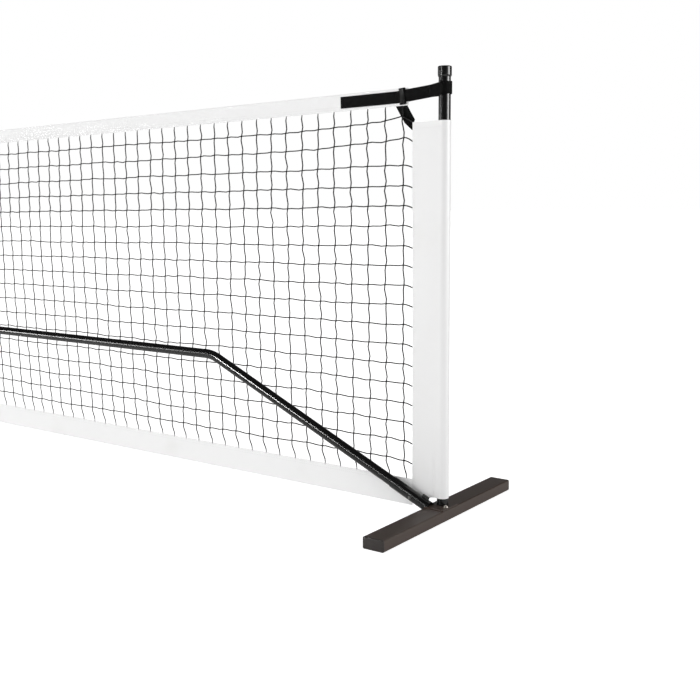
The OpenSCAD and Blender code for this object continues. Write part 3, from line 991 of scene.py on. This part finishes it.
    def build(self) -> None:
        """Makes the net in two halves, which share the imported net."""
        px, pz = self.knots()
        tilt = 0.75 + 0.25 * np.random.default_rng(51).standard_normal(px.shape)
        half = self.threads // 2
        for side in Side:
            shape = Shape()
            chosen = range(half, self.threads) if side is Side.RIGHT else range(half - 1, -1, -1)
            self._verticals(shape, px, pz, chosen)
            self._levels(shape, px, pz, chosen, side)
            for k in chosen:
                for row in range(1, self.rows + 1):
                    x, z = px[k, row], pz[k, row]
                    self._tie(shape, (x, float(self.hang.depth(x, z)), z), tilt[k, row])
            shape.piece(f"{side.word}_half_of_net", TWINE, "net_mesh")


# ---- Folded bands ----


@dataclass(frozen=True)
class FoldedBand:
    """A strip of cloth folded over the net's edge and sewn through with two rows."""

    hang: Hang
    name: str
    node: str
    reach: float
    thick: float
    cloth: float
    fold_up: bool
    rows: Pair
    stations: int = 289
    bend_from: float = 0.93
    scallops: int = 72
    scallop: float = 0.0003
    pucker: float = 0.0004
    gape: float = 0.10

    def edges(self, x: Array) -> tuple[Array, Array]:
        """The band's two edges.

        Args:
            x: Along the net.

        Returns:
            The heights of the lower and the upper edge.
        """
        if self.fold_up:
            return LAY.band_low(x), LAY.band_low(x) + LAY.band_h
        over = LAY.plate_top + 0.0003
        low = LAY.hem_low + (over - LAY.hem_low) * ease(0.16, 0.03, np.abs(x))
        return low, np.full_like(x, LAY.hem_top)

    def _section(self) -> Array:
        """Draws the folded cloth's outline.

        Returns:
            Points of depth and share, which is 0 at the open edge and 1 at the fold.
        """
        straight = np.array([0.0, 0.04, 0.2, 0.4, 0.6, 0.8, self.bend_from])
        bend = np.linspace(0, math.pi, 7)[1:-1]
        outline = []
        for t, rise in ((-self.thick / 2, 0.07), (self.thick / 2 - self.cloth, 0.045)):
            outline.append(join(t, straight))
            outline.append(join(t * np.cos(bend), self.bend_from + rise * np.sin(bend)))
            outline.append(join(-t, straight[::-1]))
        return np.concatenate(outline)

    def build(self) -> None:
        """Makes the cloth and its stitching."""
        x = np.linspace(-self.reach, self.reach, self.stations)
        low, high = self.edges(x)
        plane = self.hang.depth(x, LAY.band_low(x) if self.fold_up else LAY.hem_top)
        section = self._section()
        loose = 1 - section[:, 1]
        way = 1 if self.fold_up else -1
        pucker = Ripple(61, 0.4, 0.03, 9)
        arcs = np.abs(np.sin(math.pi * (x + LAY.net_x) * self.scallops / LAY.net_x))
        z = low[:, None] + (high - low)[:, None] * (section[:, 1] if self.fold_up else loose)
        z += (self.pucker * pucker(x) - self.scallop * arcs)[:, None] * loose * way
        y = plane[:, None] + section[:, 0] * (1 + self.gape * pucker(x + 7)[:, None] * loose)
        shape, seam = Shape(), Shape()
        turned = travelled(section * [1, LAY.band_h])
        shape.loft(join(x[:, None], y, z), join(x[:, None], turned, 0.0))
        cloth = shape.piece(self.name, BAND_CLOTH, self.node, 50.0)
        for row in self.rows:
            for face in (-1, 1):
                front = plane + face * (self.thick / 2 + SEWN_LIFT)
                seam.stitches(join(x, front, z[:, 0] + row * way), [0.0, face, 0.0])
        sewn = seam.piece(f"{self.name}_stitching", WHITE_THREAD, smooth=35.0)


# ---- Sleeves ----


@dataclass(frozen=True)
class Sleeve:
    """A white coated sleeve: one sheet from the net's edge round the post and back."""

    side: Side
    cloth: float = 0.00075
    gap: float = 0.0003
    dip: float = 0.014
    levels: int = 64
    swell: float = 0.26
    slack: float = 0.0011
    pressed_y: float = -0.0085

    def path(self) -> Array:
        """The sheet's middle line in plan, from the net's edge round the post and back.

        Returns:
            Points of X and Y, measured from the post.
        """
        r = LAY.post_r + self.gap + self.cloth / 2
        edge_x, edge_y = LAY.net_x - LAY.post_x, -self.cloth * 0.75
        t = np.linspace(0, 1, 26)[:-1]
        front = join(edge_x * (1 - t), edge_y + (-r - edge_y) * (t + self.swell * t * (1 - t)))
        ring = circle(np.linspace(-math.pi / 2, math.pi / 2, 33), r)[:, :2]
        return np.concatenate([front, ring, (front * [1, -1])[::-1]])

    def _bent(self, path: Array, z: Array) -> Array:
        """Bends the plan line at each height.

        Args:
            path: The plan line.
            z: The heights.

        Returns:
            Heights by points by three.
        """
        x, y, z = np.broadcast_arrays(path[:, 0], path[:, 1], z[:, None])
        wave = Ripple(71 + self.side.value, 0.5, 0.07, 7)
        flat = ease(-0.004, -0.030, x) * ease(-0.077, -0.06, x)
        y = y + self.slack * wave(z * 1.3, x * 0.8) * flat
        low = ease(0.17, 0.09, z) * ease(-0.0135, -0.018, x)
        held = y * (1 - low) + np.maximum(y, self.pressed_y) * low
        return join(x, np.where(y < 0, held, y), z)

    def build(self) -> None:
        """Makes the sheet and its stitching."""
        node = f"{self.side.word}_sleeve"
        lo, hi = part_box(node)
        path = self.path()
        share = np.linspace(0, 1, self.levels)
        flat = LAY.post_x - LAY.net_x - LAY.post_r
        bottom = lo.z + self.dip * (1 - np.clip(-(path[:, 0] + LAY.post_r) / flat, 0, 1))
        base = self._bent(path, lo.z + (hi.z - lo.z) * share)
        base[..., 2] = bottom + (hi.z - bottom) * share[:, None]
        shape, seam = Shape(self.side), Shape(self.side)
        shape.loft(*double_skin(base, path, self.cloth))
        name = f"{self.side.word}_post_sleeve"
        cloth = shape.piece(name, SLEEVE_CLOTH, node, 50.0)
        out = outward(path)
        surface = base + out * self.cloth / 2 * 1.04
        for column in (2, len(path) - 3):
            seam.stitches(surface[:, column], out[column])
        for level in (1, self.levels - 2):
            seam.stitches(surface[level], out)
        sewn = seam.piece(f"{name}_stitching", WHITE_THREAD, smooth=35.0)
        f"{self.side.word}_post"


# ---- Straps and buckles ----


@dataclass(frozen=True)
class EndStrap:
    """Black webbing: sewn to the band, through the buckle, round the post, and a free end."""

    side: Side
    width: float = 0.025
    thick: float = 0.0013
    seam_end: float = -0.114
    sewn: float = 0.149
    sewn_points: int = 40
    rise: float = math.radians(5.3)
    drop: float = 0.0055
    layer_y: float = 0.00175
    front_y: float = 0.00395
    step: float = 0.0055
    part: float = 0.032
    rear_lap: float = 0.011
    fan: float = -0.0004
    tail_len: float = 0.088
    tail_at: float = 0.007
    tail_lift: float = 0.0055
    tail_lean: float = math.radians(31.0)
    fold_r: float = 0.0008
    curl: float = 0.0035
    seam_inset: float = 0.002
    seam_half: float = 0.00028

    @property
    def start_z(self) -> float:
        """The strap's middle line over the floor at the end of the seam."""
        low = float(LAY.band_low(LAY.post_x + self.seam_end))
        return low + LAY.band_h - self.drop - self.width / 2

    def _middle(self) -> tuple[Array, Array]:
        """Lays the strap's middle line.

        Returns:
            Its points and its outward direction at each.
        """
        r = LAY.post_r + self.width / 2 * math.tan(self.rise) + 0.0003 + self.thick / 2
        lead = np.linspace(self.seam_end - self.sewn, self.seam_end, self.sewn_points)
        free = np.linspace(self.seam_end, -self.part, 30)[1:]
        rear = np.linspace(-self.part, self.seam_end - self.rear_lap, 24)
        lift = (self.front_y - self.layer_y) * ease(0.0, self.step, free - self.seam_end)
        lean = [math.atan((r - y) / (self.part * 0.8)) for y in (self.front_y, self.layer_y)]
        angle = np.linspace(-math.pi / 2 - lean[0], math.pi / 2 + lean[1], 49)
        ring = circle(angle, r)[:, :2]
        way = np.linspace(0, 1, 9)[1:-1, None]
        before, behind = join(-self.part, np.array([-self.front_y, self.layer_y]))
        sewn, loose = join(lead, -self.layer_y), join(free, -self.layer_y - lift)
        front = np.concatenate([sewn, loose, before + (ring[0] - before) * way])
        bend = ring[-1] + (behind - ring[-1]) * way
        back = np.concatenate([bend, join(rear, self.layer_y)])
        plan = np.concatenate([front, ring, back])
        turn = np.clip(-np.sin(angle) * 1.1, -1, 1)
        face = np.concatenate([np.ones(len(front)), turn, -np.ones(len(back))])
        past = plan[:, 0] - self.seam_end
        rise = np.full(len(past), math.tan(self.rise))
        rise[: self.sewn_points] = LAY.slope
        z = self.start_z + past * rise + self.fan * face * np.clip((past - 0.022) / 0.085, 0, 1)
        return join(plan[:, 0], plan[:, 1], z), outward(plan)

    def build(self) -> None:
        """Makes the strap, its stitching and its free end."""
        middle, out = self._middle()
        section = strip_section(self.width, self.thick, 6)
        up = np.cross(heading(middle), out)
        up *= np.sign(up[:, 2:3])
        rings = middle[:, None] + up[:, None] * section[:, :1] - out[:, None] * section[:, 1:]
        shape = Shape(self.side)
        shape.loft(rings, join(travelled(middle)[:, None], section[:, 0], 0.0))
        word = self.side.word
        shape.piece(f"{word}_end_strap", WEBBING, f"{word}_strap")
        self._stitch(middle[: self.sewn_points], up[: self.sewn_points])
        self._tail()

    def _stitch(self, middle: Array, up: Array) -> None:
        """Sews the strap to the band: a long box and a short bar at its cut end.

        Args:
            middle: The sewn part's middle line.
            up: The way to the strap's upper edge at each point.
        """
        seam = Shape(self.side)
        face = [0.0, -self.thick / 2 - 0.00003, 0.0]
        reach = self.width / 2 - self.seam_inset
        low, high = (middle + up * edge * reach + face for edge in (-1, 1))
        for line in (low, high):
            seam.stitches(line[1:], [0.0, -1.0, 0.0], 0.0038, self.seam_half)
        for n in (1, 3, -2):
            bar = np.linspace(low[n], high[n], 8)
            seam.stitches(bar, [0.0, -1.0, 0.0], 0.0034, self.seam_half)
        seam.piece(f"{self.side.word}_end_strap_stitching", BLACK_THREAD, smooth=35.0)

    def _tail(self) -> None:
        """Folds the free end behind the band and lets it hang down to its cut tip.

        The strap's flat length is rolled over a slanting fold line: what lies past the line
        goes round a small radius and comes back behind, along its new direction.
        """
        first = np.array([-math.cos(self.rise), -math.sin(self.rise)])
        then = np.array([math.sin(self.tail_lean), -math.cos(self.tail_lean)])
        line = unit(first + then)
        across = unit(first - line * (first @ line))
        side = np.array([-first[1], first[0]])
        off = np.array([-then[1], then[0]])
        roll = math.pi * self.fold_r
        begin = np.array([self.seam_end, self.start_z])
        hang = begin + [-self.tail_at, self.tail_lift]
        middle = begin + first * (off @ (hang - begin - roll * across)) / (off @ first)
        reach = float((hang - middle) @ then) + self.tail_len
        w = self.width / 2
        section = strip_section(self.width, self.thick, 12)
        # The cut tip: the places across the strap, and how far back it is cut there.
        tip = {-w: -0.025, -w + 0.008: 0.0, w - 0.0071: -0.0195, w - 0.0069: -0.0160, w: -0.0160}
        cut = reach + np.interp(-section[:, 0], list(tip), list(tip.values()))
        begin_s = -float((middle - begin) @ first) - 0.004
        share = np.linspace(0, 1, 60)[:, None]
        s = begin_s + (cut - begin_s) * share
        flat = s[..., None] * first + section[:, :1] * side
        past, on = flat @ across, flat @ line
        angle = np.clip(past / self.fold_r, 0, math.pi)
        over = np.where(past < 0, past, np.where(past > roll, roll - past, 0.0))
        over = over + (self.fold_r - section[:, 1]) * np.sin(angle)
        xz = middle + on[..., None] * line + over[..., None] * across
        curl = self.curl * ease(0.55, 1.0, share) * np.cos(section[:, 0] / w * 1.2)
        depth = self.layer_y + self.fold_r + (section[:, 1] - self.fold_r) * np.cos(angle)
        shape = Shape(self.side)
        shape.loft(join(xz[..., 0], depth + curl, xz[..., 1]), join(s, section[:, 0], 0.0))
        word = self.side.word
        shape.piece(f"{word}_end_strap_tail", WEBBING, f"{word}_strap_tail")


@dataclass(frozen=True)
class Buckle:
    """A moulded slide buckle on the strap's front layer: two lips, a bar before and behind."""

    strap: EndStrap
    at: float = 0.0065
    wide: float = 0.015
    high: float = 0.034
    bar: float = 0.0016
    slot: float = 0.0019
    front: float = 0.0115

    def build(self) -> None:
        """Makes the buckle on its own body."""
        strap, bar, high = self.strap, self.bar, self.high
        deep = self.slot + 2 * bar
        lip = (high - strap.width) / 2 - 0.0003
        place = Matrix.Translation((strap.seam_end, -strap.front_y, strap.start_z))
        place = place @ Matrix.Rotation(-strap.rise, 4, "Y")
        x = self.at + self.wide / 2
        shape = Shape(strap.side)
        for edge in (-1, 1):
            shape.block((x, 0, edge * (high - lip) / 2), (self.wide, deep, lip), 0.0011, place)
        for face, wide in ((-1, self.front), (1, self.wide * 0.9)):
            shape.block((x, face * (deep - bar) / 2, 0), (wide, bar, high - lip), 0.0005, place)
        rib = (self.front * 0.5, 0.0008, high * 0.62)
        shape.block((x, -deep / 2 + 0.0002, 0), rib, 0.0003, place)
        node = f"{strap.side.word}_buckle"
        shape.piece(f"{strap.side.word}_slide_buckle", BUCKLE_PLASTIC, node, 30.0, node)


# ---- Feet ----


@dataclass(frozen=True)
class Foot:
    """What a base needs past its beam and plate: rounded end caps, bolts and weld beads."""

    side: Optional[Side] = None
    corner: float = 0.003
    bolt_x: float = 0.017
    bolt_y: float = 0.015
    rise: float = math.radians(24.0)
    socket_end: float = 0.016
    socket_r: float = 0.0128
    socket_z: float = 0.025
    lug_at: float = 0.013
    lug_y: float = 0.0024
    lug_long: float = 0.015
    bead: float = 0.0013
    lug_bead: float = 0.0009
    cap: tuple[Pair, ...] = (
        (0.0, -0.0012), (0.0004, -0.0005), (0.0012, -0.0001),
        (0.0026, -0.00005), (0.0060, -0.00002), (0.0105, 0.0),
    )
    head: tuple[Pair, ...] = (
        (0.0059, 0.0), (0.0059, 0.0007), (0.0054, 0.0008), (0.0050, 0.0009), (0.0050, 0.0019),
        (0.0047, 0.0027), (0.0039, 0.0034), (0.0028, 0.0039), (0.0024, 0.0040),
    )
    hexagon: tuple[Pair, ...] = ((0.0022, 0.0039), (0.0021, 0.0037), (0.0021, 0.0016))
    nut: tuple[Pair, ...] = (
        (0.0046, -0.0091), (0.0052, -0.0087), (0.0052, -0.0045), (0.0046, -0.0041),
    )

    @property
    def name(self) -> str:
        """The foot's word in the names of pieces."""
        return self.side.word if self.side else "centre"

    def _ring(self, inset: float, y: float) -> Array:
        """Draws a rounded rectangle of the beam's section.

        Args:
            inset: How far it is drawn in.
            y: Where it stands.

        Returns:
            Its points.
        """
        lo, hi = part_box(f"{self.name}_foot_beam")
        r = max(self.corner - inset * 0.5, 0.0012)
        w, h = ((hi - lo)[axis] / 2 - inset - r for axis in (0, 2))
        turn = np.radians(np.linspace(0, 90, 6) + np.array([[0], [90], [180], [270]]))
        x = np.array([[w], [-w], [-w], [w]]) + r * np.cos(turn)
        z = np.array([[h], [h], [-h], [-h]]) + r * np.sin(turn)
        return join(x.ravel(), y, z.ravel() + (lo.z + hi.z) / 2)

    def caps(self) -> None:
        """Plugs the beam's two ends with crowned caps."""
        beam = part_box(f"{self.name}_foot_beam")[1].y
        node = f"{self.name}_foot_caps"
        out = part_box(node)[1].y
        steps = [(0.0019, beam - 0.016), (0.0017, beam + 0.0001), (0.0004, beam + 0.0001)]
        steps += [(0.0, beam + 0.0005)] + [(inset, out + y) for inset, y in self.cap]
        shape = Shape(self.side)
        for end in (-1, 1):
            shape.loft(np.array([self._ring(inset, y * end) for inset, y in steps]))
        shape.piece(f"{self.name}_crowned_caps", FOOT_PLASTIC, node, 50.0)

    def _bolt(self, shape: Shape, at: Vec) -> None:
        """Adds one bolt with a washer, a hexagon socket, its shank and its nut.

        Args:
            shape: Where the bolt goes.
            at: The middle of its washer's underside.
        """
        six = np.cos(math.pi / 6) / np.cos((around(48) % (math.pi / 3)) - math.pi / 6)
        socket = [(r * six, z) for r, z in self.hexagon]
        thread = [(0.0030 - 0.0003 * (i % 2), -0.0092 + 0.0005 * i) for i in range(19)]
        shape.lathe([*self.head, *socket, (0.0004, 0.0012)], 48, at)
        shape.lathe([(0.0024, -0.0097), *thread], 16, at)
        shape.lathe(self.nut, 6, at)

    def bolts(self) -> None:
        """Puts in the two bolts."""
        shape = Shape(self.side)
        for turn in (1, -1):
            self._bolt(shape, (turn * self.bolt_x, -turn * self.bolt_y, LAY.plate_top))
        shape.piece(f"{self.name}_socket_bolts", BRIGHT, f"{self.name}_base_bolts", 30.0)

    def slope_weld(self) -> None:
        """Welds the sloping socket to the beam and the plate, and the lug to the socket."""
        beam, plate = (
            (hi.x - lo.x) / 2
            for lo, hi in (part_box(f"{self.name}_{part}") for part in ("foot_beam", "base_plate"))
        )
        c, s, r = math.cos(self.rise), math.sin(self.rise), self.socket_r
        end_z = self.socket_z - (beam - self.socket_end) * math.tan(self.rise)
        x = np.linspace(-self.socket_end, -plate, 14)
        dip = (x + self.socket_end) * s + (LAY.plate_top - end_z) * c
        top = join(x, np.sqrt(r**2 - dip**2) + 0.0003, LAY.plate_top + WELD_LIFT)
        turn = np.linspace(0, math.pi, 40)
        low = self.socket_z - r * np.sin(turn) / c - 0.0003
        under = join(-beam - WELD_LIFT, r * np.cos(turn) * 1.02, low)
        path = np.concatenate([top, under, (top * [1, -1, 1])[::-1]]) + [0, LAY.arm_y, 0]
        shape = Shape(self.side)
        shape.bead(path, self.bead)
        start = self.lug_at + 0.0005
        lug = np.linspace(start, start + self.lug_long, 16)[:, None] * [-c, 0.0, s]
        lift = np.array([s, 0.0, c]) * (r - 0.0002)
        for face in (-1, 1):
            base = [-self.socket_end, LAY.arm_y + face * self.lug_y, end_z]
            shape.bead(base + lug + lift, self.lug_bead)
        shape.piece(f"{self.name}_weld_beads", STEEL)

    def build(self) -> None:
        """Makes all of the foot's pieces; the centre foot's welds are made with the hub's."""
        self.caps()
        self.bolts()
        if self.side:
            self.slope_weld()


@dataclass(frozen=True)
class CentrePieces:
    """The weld beads of the centre support and the pocket over its post."""

    socket: float = 0.0128
    foot_bead: float = 0.0014
    hub_bead: float = 0.0012
    cloth: float = 0.0010
    slack: float = 0.0006
    flap: float = 0.024
    lid: tuple[Pair, ...] = (
        (1.03, 0.0022), (1.03, 0.0012), (1.0, 0.0006), (0.9, 0.0002), (0.5, 0.0),
        (0.01, 0.0), (0.01, 0.0010), (0.9, 0.0012), (1.0, 0.0022),
    )

    def welds(self) -> None:
        """Welds the upright to the plate and the two sockets to the barrel."""
        up_lo, up_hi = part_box("centre_upright")
        hub_lo, hub_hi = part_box("centre_hub")
        shape = Shape()
        turn = around(120)
        ring = circle(turn, (up_hi.x - up_lo.x) / 2 + 0.0003, LAY.plate_top + WELD_LIFT)
        shape.bead(ring + [0, LAY.arm_y, 0], self.foot_bead, round_path=True)
        y, z = self.socket * np.sin(turn), self.socket * np.cos(turn)
        x = np.sqrt(((hub_hi.y - hub_lo.y) / 2) ** 2 - y**2) + 0.0003
        hub = [0, LAY.arm_y, (hub_lo.z + hub_hi.z) / 2]
        for side in (-1, 1):
            round_hub = join(side * x, y * 1.02, z * 1.02) + hub
            shape.bead(round_hub, self.hub_bead, round_path=True)
        shape.piece("centre_weld_beads", STEEL)

    def pocket(self) -> None:
        """Makes the closed-topped pocket, sewn to the band by its two flaps."""
        lo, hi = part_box("centre_pocket")
        r, back = hi.x - self.flap - self.cloth / 2, hi.y - self.cloth / 2
        bow = circle(np.linspace(math.pi, TURN, 33), r)[:, :2] + [0, LAY.arm_y]
        turn = np.array([[-r - 0.0015, back], [-r - 0.0002, back - 0.0012]])
        down = turn[-1] + (bow[0] - turn[-1]) * np.linspace(0, 1, 7)[1:-1, None]
        flap = join(np.linspace(-hi.x, -r - 0.0030, 8), back)
        left = np.concatenate([flap, turn, down])
        path = np.concatenate([left, bow, mirrored(left)])
        base = join(path[:, 0], path[:, 1], np.linspace(lo.z, hi.z - 0.0012, 14)[:, None])
        slack = Ripple(81, 0.08, 0.02)
        loose = ease(-0.006, -0.015, base[..., 1])
        base[..., 1] += self.slack * slack(base[..., 0], base[..., 2]) * loose
        shape, seam = Shape(), Shape()
        shape.loft(*double_skin(base, path, self.cloth))
        rim = np.concatenate([down, bow, mirrored(down)])
        heart = np.array([0.0, LAY.arm_y * 0.6])
        rings = []
        for share, under in self.lid:
            flat = heart + (rim - heart) * share
            rings.append(join(flat[:, 0], np.minimum(flat[:, 1], hi.y - 0.0002), hi.z - under))
        shape.loft(np.array(rings), joined=True)
        cloth = shape.piece("centre_post_pocket", SLEEVE_CLOTH, "centre_pocket", 40.0)
        z = np.linspace(lo.z + 0.002, hi.z - 0.003, 20)
        for x in (-hi.x + 0.003, -hi.x + 0.012, hi.x - 0.012, hi.x - 0.003):
            line = join(x, back - self.cloth / 2 - SEWN_LIFT, z)
            seam.stitches(line, [0.0, -1.0, 0.0], 0.0042)
        sewn = seam.piece("centre_post_pocket_stitching", WHITE_THREAD, smooth=35.0)


# ---- Dressing what stays ----


class Kept(Enum):
    """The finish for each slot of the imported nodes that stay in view."""

    STEEL_BLACK = STEEL
    FOOT_BLACK = FOOT_STEEL
    FOOT_PLASTIC = FOOT_PLASTIC
    PLASTIC_BLACK = PLASTIC
    WEBBING_BLACK = WEBBING
    TWINE_BLACK = TWINE
    VINYL_WHITE = SLEEVE_CLOTH
    BRIGHT_STEEL = BRIGHT

    @classmethod
    def dress(cls) -> None:
        """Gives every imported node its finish."""
        for name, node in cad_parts.items():
            for place in node.material_slots:
                finish = cls[place.material.name.split(".")[0].upper()].value
                place.material = (DULL if name.endswith("_button") else finish).material()
            log.info("%s: dressed", name)


# ---- The studio ----


@dataclass(frozen=True)
class Viewpoint:
    """Where the camera stands and how it is turned, in degrees."""

    place: Vec = (4.4370, -1.8142, 0.6783)
    yaw: float = 36.22
    pitch: float = 8.41
    roll: float = -0.47
    lens: float = 51.672
    sensor: float = 36.0
    far: float = 200.0

    def build(self) -> None:
        """Sets up the camera."""
        yaw, pitch, roll = (math.radians(v) for v in (self.yaw, self.pitch, self.roll))
        level = math.cos(pitch)
        ahead = Vector((-math.sin(yaw) * level, math.cos(yaw) * level, -math.sin(pitch)))
        right = Vector((math.cos(yaw), math.sin(yaw), 0.0))
        up = right.cross(ahead)
        across = right * math.cos(roll) + up * math.sin(roll)
        above = up * math.cos(roll) - right * math.sin(roll)
        data = bpy.data.cameras.new("camera")
        data.sensor_width, data.lens, data.clip_end = self.sensor, self.lens, self.far
        camera = placed("camera", data)
        turned = Matrix((across, above, -ahead)).transposed().to_4x4()
        camera.matrix_world = Matrix.Translation(self.place) @ turned
        bpy.context.scene.camera = camera


@dataclass(frozen=True)
class Lamp:
    """One soft box, aimed at a point. Neither the eye nor gloss sees it."""

    name: str
    place: Vec
    target: Vec
    size: Pair
    power: float

    def build(self) -> None:
        """Hangs the lamp."""
        data = bpy.data.lights.new(self.name, "AREA")
        data.shape = "RECTANGLE"
        data.size, data.size_y = self.size
        data.energy = self.power
        lamp = placed(self.name, data)
        lamp.visible_glossy = lamp.visible_camera = False
        lamp.location = self.place
        aim = Vector(self.target) - Vector(self.place)
        lamp.rotation_euler = aim.to_track_quat("-Z", "Y").to_euler()


@dataclass(frozen=True)
class Strip:
    """A bright strip: ends in plan, their heights, its height, its strength and fade along X."""

    name: str
    ends: tuple[Pair, Pair]
    low: Pair
    high: float
    fade: Pair
    power: Pair


@dataclass(frozen=True)
class Studio:
    """A pale floor, a white surround, a dark flag and bright strips for gloss, four lamps."""

    ambient: float = 0.62
    floor_level: float = 0.92
    floor_glow: float = 0.62
    floor_reach: float = 60.0
    flag_level: float = 0.03
    flag_reach: float = 16.0
    flag_radius: float = 6.0
    lamps: tuple[Lamp, ...] = (
        Lamp("key_box", (7.2, 2.6, 1.5), (3.0, 0.0, 0.4), (3.0, 2.6), 58.0),
        Lamp("side_box", (8.6, -3.4, 1.6), (3.0, 0.0, 0.4), (3.5, 2.8), 62.0),
        Lamp("fill_box", (-2.0, -6.5, 2.6), (1.0, 0.0, 0.3), (5.0, 2.5), 128.0),
        Lamp("low_box", (1.6, -0.9, 0.16), (1.6, 0.0, 0.10), (4.8, 0.16), 4.0),
    )
    bright: tuple[Strip, ...] = (
        Strip("far_strip", ((-7, -4.6), (-1.3, -4.6)), (0.55, 0.55), 0.75, (-6, -1.3), (36, 6)),
        Strip("near_strip", ((0.1, -4.6), (2.1, -4.6)), (2.4, 1.9), 0.6, (0.35, 1.6), (150, 14)),
        Strip("side_strip", ((7.4, -0.1), (7.2, 2.3)), (0.4, 0.4), 2.0, (0, 1), (13, 13)),
        Strip("back_strip", ((-3.5, 4.9), (2.5, 4.9)), (0.7, 0.7), 2.4, (0, 1), (0.35, 0.35)),
    )

    def world(self) -> None:
        """Makes the surround: white to the eye, gloss and glass, softer as light."""
        world = bpy.data.worlds.new("surround")
        bpy.context.scene.world = world
        g = Graph(world)
        eye, gloss, glass = (
            g.node("LightPath", out=f"Is {ray} Ray") for ray in ("Camera", "Glossy", "Transmission")
        )
        strength = (eye + gloss + glass).step(0.0, 1.0) * (1 - self.ambient) + self.ambient
        g.node("OutputWorld", Surface=g.node("Background", Color=grey(1.0), Strength=strength))

    def floor(self) -> None:
        """Lays a wide matt floor that glows a little to the eye and keeps the shadows."""
        material, g = blank("studio_floor")
        matt = g.node("BsdfDiffuse", Color=grey(self.floor_level))
        strength = g.node("LightPath", out="Is Camera Ray") * self.floor_glow
        glow = g.node("Emission", Color=grey(1.0), Strength=strength)
        g.node("OutputMaterial", Surface=g.node("AddShader", matt, glow))
        r = self.floor_reach
        self._sheet(material, [(-r, -r, 0), (r, -r, 0), (r, r, 0), (-r, r, 0)], hidden=())

    def flag(self) -> None:
        """Bends a dark arch in front of, above and behind the net that only gloss sees."""
        angle = np.radians(np.linspace(0, 180, 24))
        points = [
            (x, -self.flag_radius * math.cos(a), 0.01 + self.flag_radius * math.sin(a))
            for a in angle
            for x in (-self.flag_reach, self.flag_reach)
        ]
        faces = [(2 * i, 2 * i + 1, 2 * i + 3, 2 * i + 2) for i in range(len(angle) - 1)]
        self._sheet(self._glow("dark_flag", grey(self.flag_level)), points, faces)

    def strips(self) -> None:
        """Hangs bright strips whose mirror images draw the thin lines along the tubes."""
        for strip in self.bright:
            corners = [(*end, low) for end, low in zip(strip.ends, strip.low)]
            corners += [(x, y, z + strip.high) for x, y, z in corners[::-1]]
            glow = self._glow(strip.name, grey(1.0), strip.power, strip.fade)
            self._sheet(glow, corners)

    @staticmethod
    def _glow(name: str, colour: Colour, power: Pair = (1, 1), x: Pair = (0, 1)) -> Material:
        """Makes a surface that glows.

        Args:
            name: The material's name.
            colour: Its colour.
            power: Its strength at the two ends.
            x: Where the two ends are.

        Returns:
            The material.
        """
        material, g = blank(name)
        along = g.node("SeparateXYZ", g.place())
        strength = along.step(*x) * (power[1] - power[0]) + power[0]
        g.node("OutputMaterial", Surface=g.node("Emission", Color=colour, Strength=strength))
        return material

    @staticmethod
    def _sheet(
        material: Material,
        points: Sequence[Vec],
        faces: Sequence[Sequence[int]] = ((0, 1, 2, 3),),
        hidden: Sequence[str] = ALL_BUT_GLOSS,
    ) -> None:
        """Adds one piece of the stage, named after its material.

        Args:
            material: Its material.
            points: Its corners.
            faces: Its faces.
            hidden: The kinds of ray that don't see it.
        """
        mesh = bpy.data.meshes.new(material.name)
        mesh.from_pydata(points, [], faces)
        mesh.materials.append(material)
        made = placed(material.name, mesh)
        for kind in hidden:
            setattr(made, f"visible_{kind}", False)

    def build(self) -> None:
        """Sets up the light."""
        self.world()
        self.floor()
        self.flag()
        self.strips()
        for lamp in self.lamps:
            lamp.build()
        bpy.context.scene.view_settings.view_transform = "Standard"


def main() -> None:
    """Builds every piece in order."""
    logging.basicConfig(level=logging.INFO, format="%(name)s %(message)s")
    Viewpoint().build()
    Kept.dress()
    hang = Hang()
    KnottedNet(hang).build()
    top = ("top_tape", "top_band", LAY.band_x, 0.0022, 0.0006, True, (0.004, 0.009))
    hem = ("hem_tape", "bottom_hem", LAY.net_x, 0.0016, 0.0005, False, (0.005, 0.010))
    for tape in (top, hem):
        FoldedBand(hang, *tape).build()
    for side in Side:
        strap = EndStrap(side)
        for part in (Sleeve(side), strap, Buckle(strap), Foot(side)):
            part.build()
    Foot().build()
    centre = CentrePieces()
    centre.welds()
    centre.pocket()
    Studio().build()


if __name__ == "__main__":
    main()
